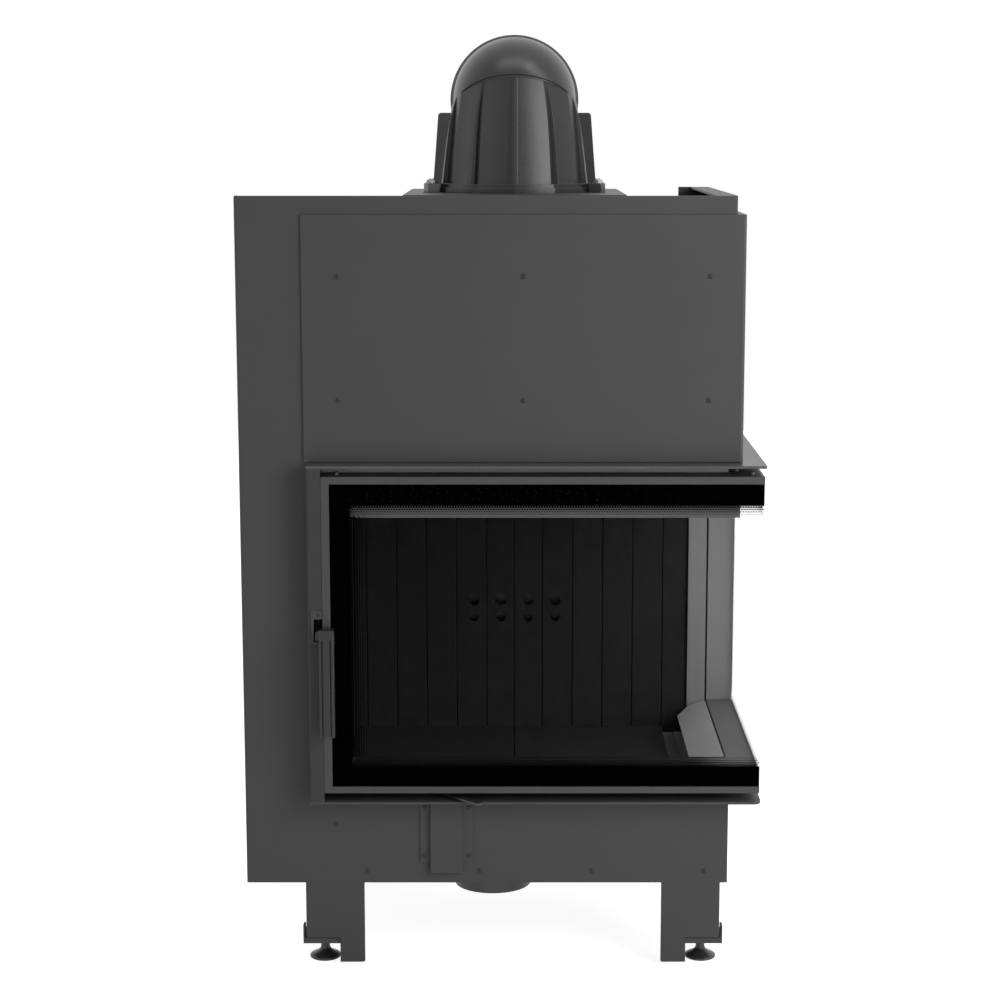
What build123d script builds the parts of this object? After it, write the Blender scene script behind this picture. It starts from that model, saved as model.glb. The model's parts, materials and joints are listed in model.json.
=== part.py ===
from build123d import *
from math import cos, radians, sin, sqrt
import os

# Corner fireplace insert in millimetres. X runs along the front towards the glazed side, Y from the
# front to the back and Z up. The origin is on the floor under the middle of the insert.

# Casing
overall_width = 790.0  # closed side to the shelf's edge on the glazed side
leg_height = 134.0  # floor to the casing
base_height = 136.0  # casing's bottom edge to the ledge under the door
upper_height = 397.0  # shelf over the door to the casing's top edge
casing_sheet = 3.0
bend_radius = 4.5
edge_radius = 2.4  # rounding of the front sheet's top edge
top_corner = 6.0
column_width = 103.0  # closed column beside the door
rear_space = 87.0  # air space between the firebox and the back
side_drop = 38.5  # how far the closed side and the back stay under the front's top edge
front_return = 25.0  # fold of the front sheet round the closed side
return_flange = 30.5  # top fold of the glazed side's sheet
rear_fold = 48.0  # rear fold of the same sheet

# Shelf, ledge and jamb
shelf_sheet = 4.0
shelf_lip = 3.0  # shelf's edge beyond the side glass
shelf_rear_lip = 4.0  # shelf's end behind the door
ledge_corner = 12.0
jamb_width = 22.0
jamb_overlap = 16.0  # casing front behind the jamb
slot_depth = 12.5
slot_height = 35.0
slot_above_axis = 20.5
keeper_sheet = 1.5
keeper_height = 52.0
keeper_width = 16.5

# Door
glass_height = 487.0
door_side = 427.0  # length of the door's side arm
glass_thick = 4.0
frame_depth = 43.0
bottom_rail_height = 43.0
top_rail_height = 42.0
left_stile_width = 43.5
rear_stile_depth = 26.0
tube_wall = 3.0
bar_bottom = 10.0
bar_top = 11.0
bar_left = 12.0
door_gap_low = 14.0
door_gap_high = 12.5
door_gap_left = 0.5
gasket_height = 10.0
gasket_inset = 14.0
seal_gap = 3.0  # door frame to the firebox opening, where the gasket lies
gasket_clear = 0.3
wash_inset = 33.0
wash_height = 25.0
wash_sheet = 3.0
wash_flange = 15.0

# Hinge
hinge_inset = 14.0  # pin's centre from the side glass
hinge_rear = 12.0  # and from the door's rear end
pin_radius = 5.0
pin_clear = 0.05
pin_length = 12.0
hinge_plate = 6.0
hinge_width = 32.0
collar_radius = 8.0

# Handle and latch
handle_inset = 7.2  # spindle from the door's left edge
handle_height = 250.5  # spindle over the door's bottom edge
grip_width = 23.0
grip_depth = 16.0
grip_length = 150.0
cap_height = 15.0
groove_width = 2.4
groove_depth = 7.0
grip_wall = 4.0
grip_standoff = 7.0  # grip's back to the glass plane
spindle_radius = 4.0
key_length = 9.0  # key that holds the spindle behind the stile's wall
key_width = 6.0
key_thick = 3.0
boss_radius = 9.0
latch_plate = 4.0
latch_clear = 3.0  # latch plate to the glass plane
hook_reach = 15.2
hook_drop = 5.0
hook_width = 5.0
hook_height = 13.0
hook_depth = 16.0

# Firebox
opening_setback = 15.0  # opening's front face behind the casing's face
opening_side_setback = 6.5
frame_sheet = 4.0
lip_depth = 48.0
lip_slope = 21.0
plate = 5.0
wall_offset = 33.5  # closed side wall beyond the door's left edge
jamb_cover = 33.5  # jamb's width behind the door's left stile
rear_clear = 19.0  # door's rear end to the rear wall
post_width = 29.0
post_slope = 14.0
floor_drop = 21.0  # ledge's underside to the firebox floor
lining = 25.0
lining_gap = 0.5
lining_joint = 1.6
groove_pitch = 50.8
groove_first = 47.0
groove_half = 1.6
grooves_per_panel = 5
hole_pitch = 46.0
hole_row_upper = 220.0  # air holes over the lining floor
hole_row_lower = 190.5
hole_upper_radius = 10.0
hole_lower_radius = 8.5
floor_strip_width = 17.6
floor_strip_height = 14.0
baffle_front = 95.0  # baffle behind the opening's face
baffle_drop = 33.0  # and under the opening's top

# Upper cover
wing_stand = 13.5
panel_left_overlap = 4.6
panel_gap = 1.1
top_strip = 27.6
panel_screw_inset = 52.8
panel_screw_drop = 90.55
panel_screw_rise = 93.15

# Lower cover
cover_sheet = 2.0
cover_raise = 6.0
cover_width = 52.0
cover_left_flange = 14.0
cover_right_flange = 16.0
cover_height = 115.0
cover_foot = 15.0  # bottom end of the cover, without flanges
cover_offset = -105.5  # from the firebox's middle
cover_drop = 3.0
cover_screw_pitch = 69.2
cover_screw_drop = 12.3
cover_screw_rise = 76.4

# Screws
head_radius = 3.5
head_height = 2.0
shank_radius = 2.0
shank_clear = 0.2
shank_length = 7.0
bottom_screw_count = 4
bottom_screw_left = 84.5  # beyond the column
bottom_screw_right = 35.5
bottom_screw_rise = 18.5
column_screw_inset = 138.8
column_screw_rise = 94.0

# Flue
flue_setback = 192.0  # flue's axis behind the casing's face
hood_wall = 4.0
hood_inset = 7.5
flue_plate_width = 332.0
flue_plate_depth = 345.0
flue_plate_sheet = 4.0
flue_plate_proud = 0.5
hood_plate_step = 6.0
flue_bore = 100.0
ring_flange_radius = 122.0
ring_flange_height = 8.0
ring_radius = 118.0
ring_height = 14.0
bell_radius = 110.0
bell_height = 109.0  # ring's top to the middle of the seam
seam_radius = 98.0
seam_tilt = 31.0
seam_gap = 0.3
cast_wall = 7.0
rib_count = 10
rib_width = 8.0
rib_proud = (7.5, 6.0, 4.0, 0.2)  # at the bell's sections, from the ring to the seam
fin_reach = 118.0
fin_foot = 126.0
fin_thick = 8.0
fin_chamfer = 3.0
fin_drop = 2.0  # fin's top under the middle of the seam
collar_radius_outer = 103.0
collar_bore = 100.25
collar_length = 62.0
elbow_reach = 144.0  # seam's middle to the collar
elbow_rise = 19.0
elbow_radius = 95.0
neck_floor = 34.0  # neck's underside below the bend's axis
flare_length = 50.0
flare_radius = 73.0  # flare's hidden small end
clamp_width = 24.0
clamp_depth = 20.0
clamp_height = 14.0
clamp_gap = 1.0
clamp_spread = 18.0  # clamps above and below the side axis, degrees
bolt_radius = 4.0
bolt_clear = 0.2
bolt_head = 7.5
bolt_head_height = 5.5

# Air supply
air_box_width = 180.0
air_sheet = 2.0
air_offset = -35.5  # air box's middle from the firebox's middle
spigot_radius = 62.5
spigot_length = 79.5
spigot_boss = 3.5
spigot_shoulder = 1.0  # boss below the casing
spigot_setback = 237.0
spigot_flange = 12.0
slot_clear = 0.3
air_slot_width = 18.0
air_slot_pitch = 35.0
air_slot_count = 4
air_slot_depth = 24.0
slide_sheet = 2.0
slide_depth = 37.0
slide_gap = 0.3
lever_offset = -149.5
pivot_setback = 25.0
lever_length = 134.35
lever_width = 12.0
lever_thick = 3.0
lever_angle = 45.0  # lever at rest, in front of the pivot and towards the glazed side
lever_gap = 0.3
pivot_radius = 4.0
tail_length = 15.0
drive_radius = 2.5
drive_play = 0.9
lever_slot_left = 18.0
lever_slot_right = 40.0
vent_length = 90.0
vent_width = 22.0
vent_pitch = 38.0
vent_row_pitch = 105.0

# Legs and feet
leg_width = 90.8
leg_side = 91.2  # closed side's legs from the casing's side
leg_inset = 11.0  # glazed side's legs from the casing's side
leg_depth = 80.0
tongue_width = 38.6
tongue_floor = 5.0
tongue_corner = 3.0
bracket_height = 43.0
bracket_thick = 3.0
bracket_skirt = 9.0
bracket_end = 12.0
bracket_ear = 5.4
bracket_ear_depth = 16.0
bracket_ear_height = 29.0
leg_cut_gap = 1.7
foot_inset = 25.9
foot_setback = 39.0
foot_radius = 24.5
foot_height = 14.0
foot_neck = 6.5
foot_stem = 5.0
foot_travel = 20.0
stem_length = 24.0

# Planes and lines that the pieces share
opening_inset = glass_thick + frame_depth + seal_gap
lever_reach = lever_length * sin(radians(lever_angle)) + lever_width / 2 - opening_setback - pivot_setback
casing_depth = (
    opening_setback - opening_inset + door_side + rear_clear + plate + rear_space + casing_sheet
)
face = (lever_reach - casing_depth) / 2
back = face + casing_depth
shelf_right = overall_width / 2
glass_side = shelf_right - shelf_lip
opening_side = glass_side - opening_inset
casing_left = -overall_width / 2
casing_right = opening_side + opening_side_setback
shelf_left = casing_left + column_width
opening_front = face + opening_setback
glass_front = opening_front - opening_inset
door_left = shelf_left + jamb_width + door_gap_left
door_rear = glass_front + door_side
door_inner = opening_inset - seal_gap
aperture_left = shelf_left + jamb_overlap
aperture_rear = door_rear + shelf_rear_lip
wall_left = door_left - wall_offset
wall_rear = door_rear + rear_clear
middle = (wall_left + opening_side) / 2

casing_bottom = leg_height
ledge_under = casing_bottom + base_height
ledge_top = ledge_under + shelf_sheet
door_bottom = ledge_top + door_gap_low
door_top = door_bottom + glass_height
shelf_under = door_top + door_gap_high
shelf_top = shelf_under + shelf_sheet
casing_top = shelf_top + upper_height
sill_top = door_bottom + bottom_rail_height
header_bottom = door_top - top_rail_height
floor_under = ledge_under - floor_drop
floor_top = floor_under + plate
lining_top = header_bottom - baffle_drop
firebox_top_z = shelf_under + plate

hinge_x = glass_side - hinge_inset
hinge_y = door_rear - hinge_rear
handle_x = door_left + handle_inset
handle_z = door_bottom + handle_height

panel_left = shelf_left - panel_left_overlap
panel_right = casing_right + wing_stand
panel_bottom = shelf_top + panel_gap
panel_top = casing_top - top_strip
cover_x = middle + cover_offset
cover_top = ledge_under - cover_drop
cover_bottom = cover_top - cover_height

flue_y = face + flue_setback
plate_top = casing_top + flue_plate_proud
hood_top = plate_top - flue_plate_sheet
ring_top = plate_top + ring_height
seam_z = ring_top + bell_height
seam_y = flue_y + 2.0
collar_y = seam_y + elbow_reach

air_x = middle + air_offset
air_front = opening_front + frame_sheet + 1.0
sill_web = lip_depth + frame_sheet
pivot_x = middle + lever_offset
pivot_y = opening_front + pivot_setback
slide_bottom = ledge_top + slide_gap
slide_top = slide_bottom + slide_sheet
lever_bottom = slide_top + lever_gap
lever_top = lever_bottom + lever_thick

front_plane = Plane.XZ.offset(-face)


def slab(x, y, z, mode=Mode.ADD):
    """A rectangular bar or plate between each pair of X, Y and Z."""
    with Locations(((x[0] + x[1]) / 2, (y[0] + y[1]) / 2, (z[0] + z[1]) / 2)):
        Box(x[1] - x[0], y[1] - y[0], z[1] - z[0], mode=mode)


def folded(points, thickness, side, bend=0.0):
    """The section of a folded sheet: one face's line, thickened to one side."""
    with BuildLine() as line:
        if bend:
            FilletPolyline(*points, radius=bend)
        else:
            Polyline(*points)
        offset(amount=thickness, side=side, kind=Kind.INTERSECTION)
    make_face(line.edges())


def corner_band(left, rear, inset, width):
    """An L in plan, its outer edges a distance inside the two glass faces."""
    outer_x = glass_side - inset
    outer_y = glass_front + inset
    with BuildLine() as line:
        Polyline(
            (left, outer_y),
            (outer_x, outer_y),
            (outer_x, rear),
            (outer_x - width, rear),
            (outer_x - width, outer_y + width),
            (left, outer_y + width),
            close=True,
        )
    make_face(line.edges())


def band(left, rear, inset, width, low, high, mode=Mode.ADD):
    """That L, raised from one height to another."""
    with BuildSketch(Plane.XY.offset(low)) as plan:
        corner_band(left, rear, inset, width)
    extrude(plan.sketch, amount=high - low, mode=mode)


def drill(plane, places, radius, depth):
    """Round holes into a plane at the places given on it."""
    with BuildSketch(plane) as rounds:
        with Locations(*places):
            Circle(radius)
    extrude(rounds.sketch, amount=-depth, mode=Mode.SUBTRACT)


def button_screws(plane, places):
    """Domed screw heads on a plane, with their shanks below it."""
    with BuildSketch(plane) as heads:
        with Locations(*places):
            Circle(head_radius)
    extrude(heads.sketch, amount=head_height, taper=25)
    with BuildSketch(plane) as shanks:
        with Locations(*places):
            Circle(shank_radius)
    extrude(shanks.sketch, amount=-shank_length)


def grid(x, z, pitch, rise):
    """Places of a two by two or three by two pattern about a middle."""
    return [(x + i * pitch, z + j * rise / 2) for j in (1, -1) for i in (-1, 0, 1)]


# Screw places, as X and Z on the casing's front
panel_screws = grid(
    (panel_left + panel_right) / 2,
    (panel_bottom + panel_screw_rise + panel_top - panel_screw_drop) / 2,
    (panel_right - panel_left) / 2 - panel_screw_inset,
    panel_top - panel_screw_drop - panel_bottom - panel_screw_rise,
)
cover_middle = cover_x + (cover_right_flange - cover_left_flange) / 2
cover_screws = [
    (cover_middle + i * cover_screw_pitch / 2, cover_top - cover_screw_drop - j * cover_screw_rise)
    for i in (-1, 1)
    for j in (0, 1)
]
bottom_first = shelf_left + bottom_screw_left
bottom_pitch = (casing_right - bottom_screw_right - bottom_first) / (bottom_screw_count - 1)
bottom_screws = [
    (bottom_first + i * bottom_pitch, casing_bottom + bottom_screw_rise) for i in range(bottom_screw_count)
] + [(casing_left + column_screw_inset, casing_bottom + column_screw_rise)]
shank_hole = shank_radius + shank_clear

# Casing front, folded round the closed side and open where the door stands
with BuildPart() as casing_front:
    with BuildSketch(Plane.XY.offset(casing_bottom)):
        folded(
            [(casing_left, face + front_return), (casing_left, face), (casing_right, face)],
            casing_sheet,
            Side.LEFT,
            bend_radius,
        )
    extrude(amount=casing_top - casing_bottom)
    slab(
        (aperture_left, casing_right + 1),
        (face - 1, opening_front),
        (ledge_under, shelf_top),
        Mode.SUBTRACT,
    )
    fillet(casing_front.edges().filter_by(Axis.Y).group_by(Axis.Z)[-1].sort_by(Axis.X)[-1], top_corner)
    front_face = casing_front.faces().filter_by(Axis.Y).sort_by(Axis.Y)[0]
    fillet(front_face.edges().filter_by(Axis.X).sort_by(Axis.Z)[-1], edge_radius)
    drill(front_plane, panel_screws + cover_screws + bottom_screws, shank_hole, casing_sheet)

# Closed side
with BuildPart() as casing_side:
    with BuildSketch(Plane.XY.offset(casing_bottom)):
        folded(
            [
                (casing_left, face + front_return),
                (casing_left, back - casing_sheet),
            ],
            casing_sheet,
            Side.RIGHT,
        )
    extrude(amount=casing_top - side_drop - casing_bottom)
    slab(
        (casing_left + casing_sheet, casing_left + front_return),
        (face + front_return, back - casing_sheet),
        (casing_top - side_drop - casing_sheet, casing_top - side_drop),
    )

# Back
with BuildPart() as casing_rear:
    slab(
        (casing_left, casing_right - casing_sheet - rear_fold),
        (back - casing_sheet, back),
        (casing_bottom, casing_top - side_drop),
    )

# Glazed side's sheet, with its folds at the back and along the top
with BuildPart() as casing_glazed_side:
    with BuildSketch(Plane.XY.offset(casing_bottom)):
        folded(
            [
                (casing_right, face + casing_sheet),
                (casing_right, back),
                (casing_right - casing_sheet - rear_fold, back),
            ],
            casing_sheet,
            Side.LEFT,
            bend_radius,
        )
    extrude(amount=casing_top - casing_bottom)
    slab(
        (casing_right - return_flange, casing_right - casing_sheet),
        (face + casing_sheet, back - casing_sheet),
        (casing_top - casing_sheet, casing_top),
    )
    slab(
        (opening_side, casing_right + 1),
        (face, aperture_rear),
        (ledge_under, shelf_top),
        Mode.SUBTRACT,
    )

# Base plate, with the hole for outside air and vents for the room's air
vent_rows = (casing_left + leg_side + leg_width / 2, casing_right - leg_inset - leg_width)
with BuildPart() as base_plate:
    slab(
        (casing_left + casing_sheet, casing_right - casing_sheet),
        (face + casing_sheet, back - casing_sheet),
        (casing_bottom, casing_bottom + casing_sheet),
    )
    with BuildSketch(Plane.XY.offset(casing_bottom)) as vents:
        with Locations((air_x, face + spigot_setback)):
            Circle(spigot_radius + spigot_boss + slot_clear)
        for vent_x in vent_rows:
            with Locations((vent_x, (face + back) / 2)):
                with GridLocations(vent_pitch, vent_row_pitch, 3, 3):
                    SlotOverall(vent_length, vent_width, rotation=90)
    extrude(vents.sketch, amount=casing_sheet, mode=Mode.SUBTRACT)
    fillet(base_plate.edges().filter_by(Axis.Z).filter_by(GeomType.LINE), bend_radius - casing_sheet)

# Upper cover: flat on the front, folded round the glazed side and closed on top
with BuildPart() as service_panel:
    with BuildSketch(Plane.XY.offset(panel_bottom)):
        folded(
            [
                (panel_left, face - casing_sheet),
                (panel_right, face - casing_sheet),
                (panel_right, hinge_y),
                (casing_right, hinge_y),
            ],
            casing_sheet,
            Side.LEFT,
            bend_radius,
        )
    extrude(amount=panel_top - panel_bottom)
    slab(
        (casing_right, panel_right - casing_sheet),
        (face, hinge_y - casing_sheet),
        (panel_top - casing_sheet, panel_top),
    )
    drill(Plane.XZ.offset(casing_sheet - face), panel_screws, shank_hole, casing_sheet)

# Lower cover, a shallow hat section
with BuildPart() as lower_cover:
    with BuildSketch(Plane.XY.offset(cover_bottom)):
        folded(
            [
                (cover_x - cover_width / 2 - cover_left_flange, face - cover_sheet),
                (cover_x - cover_width / 2, face - cover_sheet),
                (cover_x - cover_width / 2 + cover_sheet, face - cover_sheet - cover_raise),
                (cover_x + cover_width / 2 - cover_sheet, face - cover_sheet - cover_raise),
                (cover_x + cover_width / 2, face - cover_sheet),
                (cover_x + cover_width / 2 + cover_right_flange, face - cover_sheet),
            ],
            cover_sheet,
            Side.LEFT,
        )
    extrude(amount=cover_height)
    for side, flange in ((-1, cover_left_flange), (1, cover_right_flange)):
        foot_edge = cover_x + side * cover_width / 2
        foot_end = foot_edge + side * (flange + 1)
        slab(
            (min(foot_edge, foot_end), max(foot_edge, foot_end)),
            (face - cover_sheet - 1, face + 1),
            (cover_bottom - 1, cover_bottom + cover_foot),
            Mode.SUBTRACT,
        )
    drill(Plane.XZ.offset(cover_sheet - face), cover_screws, shank_hole, cover_sheet)

with BuildPart() as casing_screws:
    button_screws(Plane.XZ.offset(casing_sheet - face), panel_screws)
    button_screws(Plane.XZ.offset(cover_sheet - face), cover_screws)
    button_screws(front_plane, bottom_screws)


def ledge_plan(corner):
    """The shelf's and ledge's shape in plan, out to the glass and in to the firebox opening."""
    with BuildLine() as line:
        Polyline(
            (shelf_left, glass_front),
            (shelf_right, glass_front),
            (shelf_right, aperture_rear),
            (opening_side, aperture_rear),
            (opening_side, opening_front),
            (aperture_left, opening_front),
            (aperture_left, face),
            (shelf_left, face),
            close=True,
        )
    ledge_face = make_face(line.edges())
    fillet(ledge_face.vertices().sort_by(Axis.X)[-2:].sort_by(Axis.Y)[0], corner)


with BuildPart() as top_shelf:
    with BuildSketch(Plane.XY.offset(shelf_under)) as shelf_plan:
        ledge_plan(2.0)
    extrude(amount=shelf_sheet)

with BuildPart() as bottom_ledge:
    with BuildSketch(Plane.XY.offset(ledge_under)) as lower_plan:
        ledge_plan(ledge_corner)
    extrude(amount=shelf_sheet)

# Jamb beside the door, with the latch's slot open to its edge
slot_top = handle_z + slot_above_axis
with BuildPart() as left_jamb:
    with BuildSketch(Plane.XY.offset(ledge_top)):
        folded(
            [
                (shelf_left + jamb_width, glass_front),
                (shelf_left, glass_front),
                (shelf_left, face),
            ],
            casing_sheet,
            Side.RIGHT,
            bend_radius,
        )
    extrude(amount=shelf_under - ledge_top)
    slab(
        (shelf_left + jamb_width - slot_depth, shelf_left + jamb_width),
        (glass_front, glass_front + casing_sheet),
        (slot_top - slot_height, slot_top),
        Mode.SUBTRACT,
    )

with BuildPart() as keeper_plate:
    with BuildSketch(Plane.XZ.offset(-glass_front)):
        with Locations((shelf_left + jamb_width - keeper_width / 2, handle_z + 7.5)):
            RectangleRounded(keeper_width, keeper_height, 2)
        with Locations((shelf_left + jamb_width - slot_depth / 2, slot_top - slot_height / 2)):
            Rectangle(slot_depth, slot_height, mode=Mode.SUBTRACT)
        with Locations((shelf_left + jamb_width - 6, slot_top + 6.5)):
            Circle(2.5, mode=Mode.SUBTRACT)
    extrude(amount=keeper_sheet)

# Firebox opening: sills and header with sloping lips, mitred at the glazed corner
front_section = Plane(origin=(opening_side, opening_front, 0), x_dir=(0, 1, 0), z_dir=(1, 0, 0))
side_section = Plane(origin=(opening_side, opening_front, 0), x_dir=(-1, 0, 0), z_dir=(0, 1, 0))
corner_mitre = Plane(origin=(opening_side, opening_front, 0), x_dir=(0, 0, 1), z_dir=(1, 1, 0))
front_run = opening_side - wall_left
side_run = door_rear - rear_stile_depth - opening_front
sill_line = [
    (lip_depth, sill_top - lip_slope),
    (0, sill_top),
    (0, ledge_under),
    (lip_depth, ledge_under),
    (lip_depth, floor_under),
]
header_line = [
    (lip_depth, header_bottom + lip_slope),
    (0, header_bottom),
    (0, shelf_under),
]
slide_middle = opening_front + frame_sheet + (lip_depth - frame_sheet) / 2
air_slot_x = [air_x + (i - (air_slot_count - 1) / 2) * air_slot_pitch for i in range(air_slot_count)]

with BuildPart() as front_sill:
    with BuildSketch(front_section):
        folded(sill_line, frame_sheet, Side.LEFT)
    extrude(amount=-front_run)
    split(bisect_by=corner_mitre, keep=Keep.BOTTOM)
    slab(
        (pivot_x - lever_slot_left, pivot_x + lever_slot_right),
        (opening_front, opening_front + frame_sheet),
        (ledge_top + 1, lever_top + 2),
        Mode.SUBTRACT,
    )
    with BuildSketch(Plane.XY.offset(ledge_under)) as air_slots:
        with Locations(*[(x, slide_middle) for x in air_slot_x]):
            SlotOverall(air_slot_depth, air_slot_width, rotation=90)
    extrude(air_slots.sketch, amount=shelf_sheet, mode=Mode.SUBTRACT)
    with BuildSketch(Plane.XY.offset(ledge_top)) as pivot:
        with Locations((pivot_x, pivot_y)):
            Circle(pivot_radius)
    extrude(pivot.sketch, amount=lever_top + 1 - ledge_top)

with BuildPart() as side_sill:
    with BuildSketch(side_section):
        folded(sill_line, frame_sheet, Side.LEFT)
    extrude(amount=side_run)
    split(bisect_by=corner_mitre, keep=Keep.TOP)
    with BuildSketch(Plane.XY.offset(sill_top - lip_slope - frame_sheet - 4)) as rear_cut:
        with BuildLine() as cut_line:
            Polyline(
                (opening_side - lip_depth - 4, opening_front + side_run - 38),
                (opening_side - post_width, opening_front + side_run),
                (opening_side - post_width, opening_front + side_run + 1),
                (opening_side - lip_depth - 4, opening_front + side_run + 1),
                close=True,
            )
        make_face(cut_line.edges())
    extrude(rear_cut.sketch, amount=lip_slope + frame_sheet + 4, mode=Mode.SUBTRACT)

with BuildPart() as opening_header:
    with BuildSketch(front_section):
        folded(header_line, frame_sheet, Side.RIGHT)
    extrude(amount=-front_run)
    split(bisect_by=corner_mitre, keep=Keep.BOTTOM)
with BuildPart() as header_side:
    with BuildSketch(side_section):
        folded(header_line, frame_sheet, Side.RIGHT)
    extrude(amount=side_run)
    split(bisect_by=corner_mitre, keep=Keep.TOP)
with opening_header:
    add(header_side.part)

with BuildPart() as inner_jamb:
    jamb_edge = wall_left + wall_offset + jamb_cover
    with BuildSketch(Plane.XY.offset(sill_top)):
        folded(
            [
                (jamb_edge - lip_slope, opening_front + lip_depth),
                (jamb_edge, opening_front),
                (wall_left, opening_front),
            ],
            frame_sheet,
            Side.RIGHT,
        )
    extrude(amount=header_bottom - sill_top)

with BuildPart() as rear_post:
    post_front = opening_front + side_run
    with BuildSketch(Plane.XY.offset(floor_top)):
        folded(
            [
                (opening_side - post_width, post_front + post_slope),
                (opening_side, post_front),
                (opening_side, wall_rear),
            ],
            frame_sheet,
            Side.LEFT,
        )
    extrude(amount=shelf_under - floor_top)

# Firebox walls, floor and top
with BuildPart() as firebox_side_wall:
    slab((wall_left - plate, wall_left), (opening_front, wall_rear), (floor_under, shelf_under))

with BuildPart() as firebox_rear_wall:
    slab((wall_left - plate, opening_side), (wall_rear, wall_rear + plate), (floor_under, shelf_under))

with BuildPart() as firebox_floor:
    with BuildSketch(Plane.XY.offset(floor_under)) as floor_plan:
        with BuildLine() as floor_line:
            Polyline(
                (wall_left, opening_front + sill_web),
                (opening_side - sill_web, opening_front + sill_web),
                (opening_side - sill_web, post_front),
                (opening_side, post_front),
                (opening_side, wall_rear),
                (wall_left, wall_rear),
                close=True,
            )
        make_face()
    extrude(amount=plate)

hood_left = wall_left - plate + hood_inset
hood_right = opening_side - hood_inset
hood_front = opening_front + hood_inset
hood_rear = wall_rear + plate - hood_inset
with BuildPart() as firebox_top:
    slab(
        (wall_left - plate, opening_side),
        (opening_front, wall_rear + plate),
        (shelf_under, firebox_top_z),
    )
    slab(
        (hood_left + 20, hood_right - 20),
        (hood_front + 20, hood_rear - 20),
        (shelf_under, firebox_top_z),
        Mode.SUBTRACT,
    )

# Linings
lining_back = wall_rear - lining_gap
lining_face = lining_back - lining
lining_side = wall_left + lining_gap + lining
right_lining_edge = opening_side - lining


def rear_lining(near, far, sign):
    """One grooved panel of the rear lining, with its four air holes."""
    slab((min(near, far), max(near, far)), (lining_face, lining_back), (floor_top, lining_top))
    with BuildSketch(Plane.XY.offset(floor_top)) as cuts:
        for i in range(grooves_per_panel):
            groove_x = middle + sign * (groove_first + i * groove_pitch)
            with BuildLine() as cut:
                Polyline(
                    (groove_x - groove_half, lining_face),
                    (groove_x, lining_face + 2 * groove_half),
                    (groove_x + groove_half, lining_face),
                    close=True,
                )
            make_face(cut.edges())
    extrude(cuts.sketch, amount=lining_top - floor_top, mode=Mode.SUBTRACT)
    hole_x = [middle + sign * hole_pitch * k for k in (0.5, 1.5)]
    lining_floor = floor_top + lining
    back_plane = Plane.XZ.offset(-lining_face)
    drill(back_plane, [(x, lining_floor + hole_row_upper) for x in hole_x], hole_upper_radius, lining)
    drill(back_plane, [(x, lining_floor + hole_row_lower) for x in hole_x], hole_lower_radius, lining)


with BuildPart() as back_lining_left:
    rear_lining(middle - lining_joint / 2, lining_side, -1)

with BuildPart() as back_lining_right:
    rear_lining(middle + lining_joint / 2, right_lining_edge, 1)

lining_front = opening_front + sill_web + lining_gap
with BuildPart() as side_lining:
    slab(
        (wall_left + lining_gap, lining_side - lining_joint),
        (lining_front, lining_back),
        (floor_top, lining_top),
    )

floor_right = opening_side - sill_web - lining_gap
floor_strip_left = floor_right - floor_strip_width
with BuildPart() as floor_lining_left:
    slab(
        (lining_side, middle - lining_joint / 2),
        (lining_front, lining_face - lining_joint),
        (floor_top, floor_top + lining),
    )

with BuildPart() as floor_lining_right:
    slab(
        (middle + lining_joint / 2, floor_strip_left - lining_joint),
        (lining_front, lining_face - lining_joint),
        (floor_top, floor_top + lining),
    )

with BuildPart() as floor_strip:
    slab(
        (floor_strip_left, floor_right),
        (lining_front, lining_face - lining_joint),
        (floor_top, floor_top + floor_strip_height),
    )

with BuildPart() as baffle:
    slab(
        (wall_left + lining_gap, opening_side - post_width - 2 * lining_gap),
        (opening_front + baffle_front, lining_back),
        (lining_top, lining_top + lining),
    )
    chamfer(baffle.edges().filter_by(Axis.X).group_by(Axis.Y)[0], 6)

# Smoke hood over the firebox and the plate that carries the flue
def hood_solid(inset, mode):
    """A taper from the firebox's top to the flue plate."""
    bottom_x = (hood_left + hood_right) / 2
    bottom_y = (hood_front + hood_rear) / 2
    with BuildSketch(Plane.XY.offset(firebox_top_z)) as foot:
        with Locations((bottom_x, bottom_y)):
            Rectangle(hood_right - hood_left - 2 * inset, hood_rear - hood_front - 2 * inset)
    with BuildSketch(Plane.XY.offset(hood_top)) as head:
        with Locations((middle, flue_y)):
            Rectangle(
                flue_plate_width - 2 * hood_plate_step - 2 * inset,
                flue_plate_depth - 2 * hood_plate_step - 2 * inset,
            )
    loft([foot.sketch.face(), head.sketch.face()], ruled=True, mode=mode)


with BuildPart() as smoke_hood:
    hood_solid(0, Mode.ADD)
    hood_solid(hood_wall, Mode.SUBTRACT)

with BuildPart() as flue_plate:
    with BuildSketch(Plane.XY.offset(hood_top)):
        with Locations((middle, flue_y)):
            RectangleRounded(flue_plate_width, flue_plate_depth, 5)
            Circle(flue_bore, mode=Mode.SUBTRACT)
    extrude(amount=flue_plate_sheet)


def flue_section(y, z, tilt):
    """A plane across the flue, tipped back from level by the tilt in degrees."""
    turn = radians(tilt)
    return Plane(origin=(middle, y, z), x_dir=(1, 0, 0), z_dir=(0, sin(turn), cos(turn)))


def cast_loft(sections, grow, mode):
    """A cast wall's surface through rounds given as Y, Z, tilt and two radii."""
    faces = []
    for y, z, tilt, wide, high in sections:
        with BuildSketch(flue_section(y, z, tilt)) as round_section:
            Ellipse(wide + grow, high + grow)
        faces.append(round_section.sketch.face())
    loft(faces, mode=mode)


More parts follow.
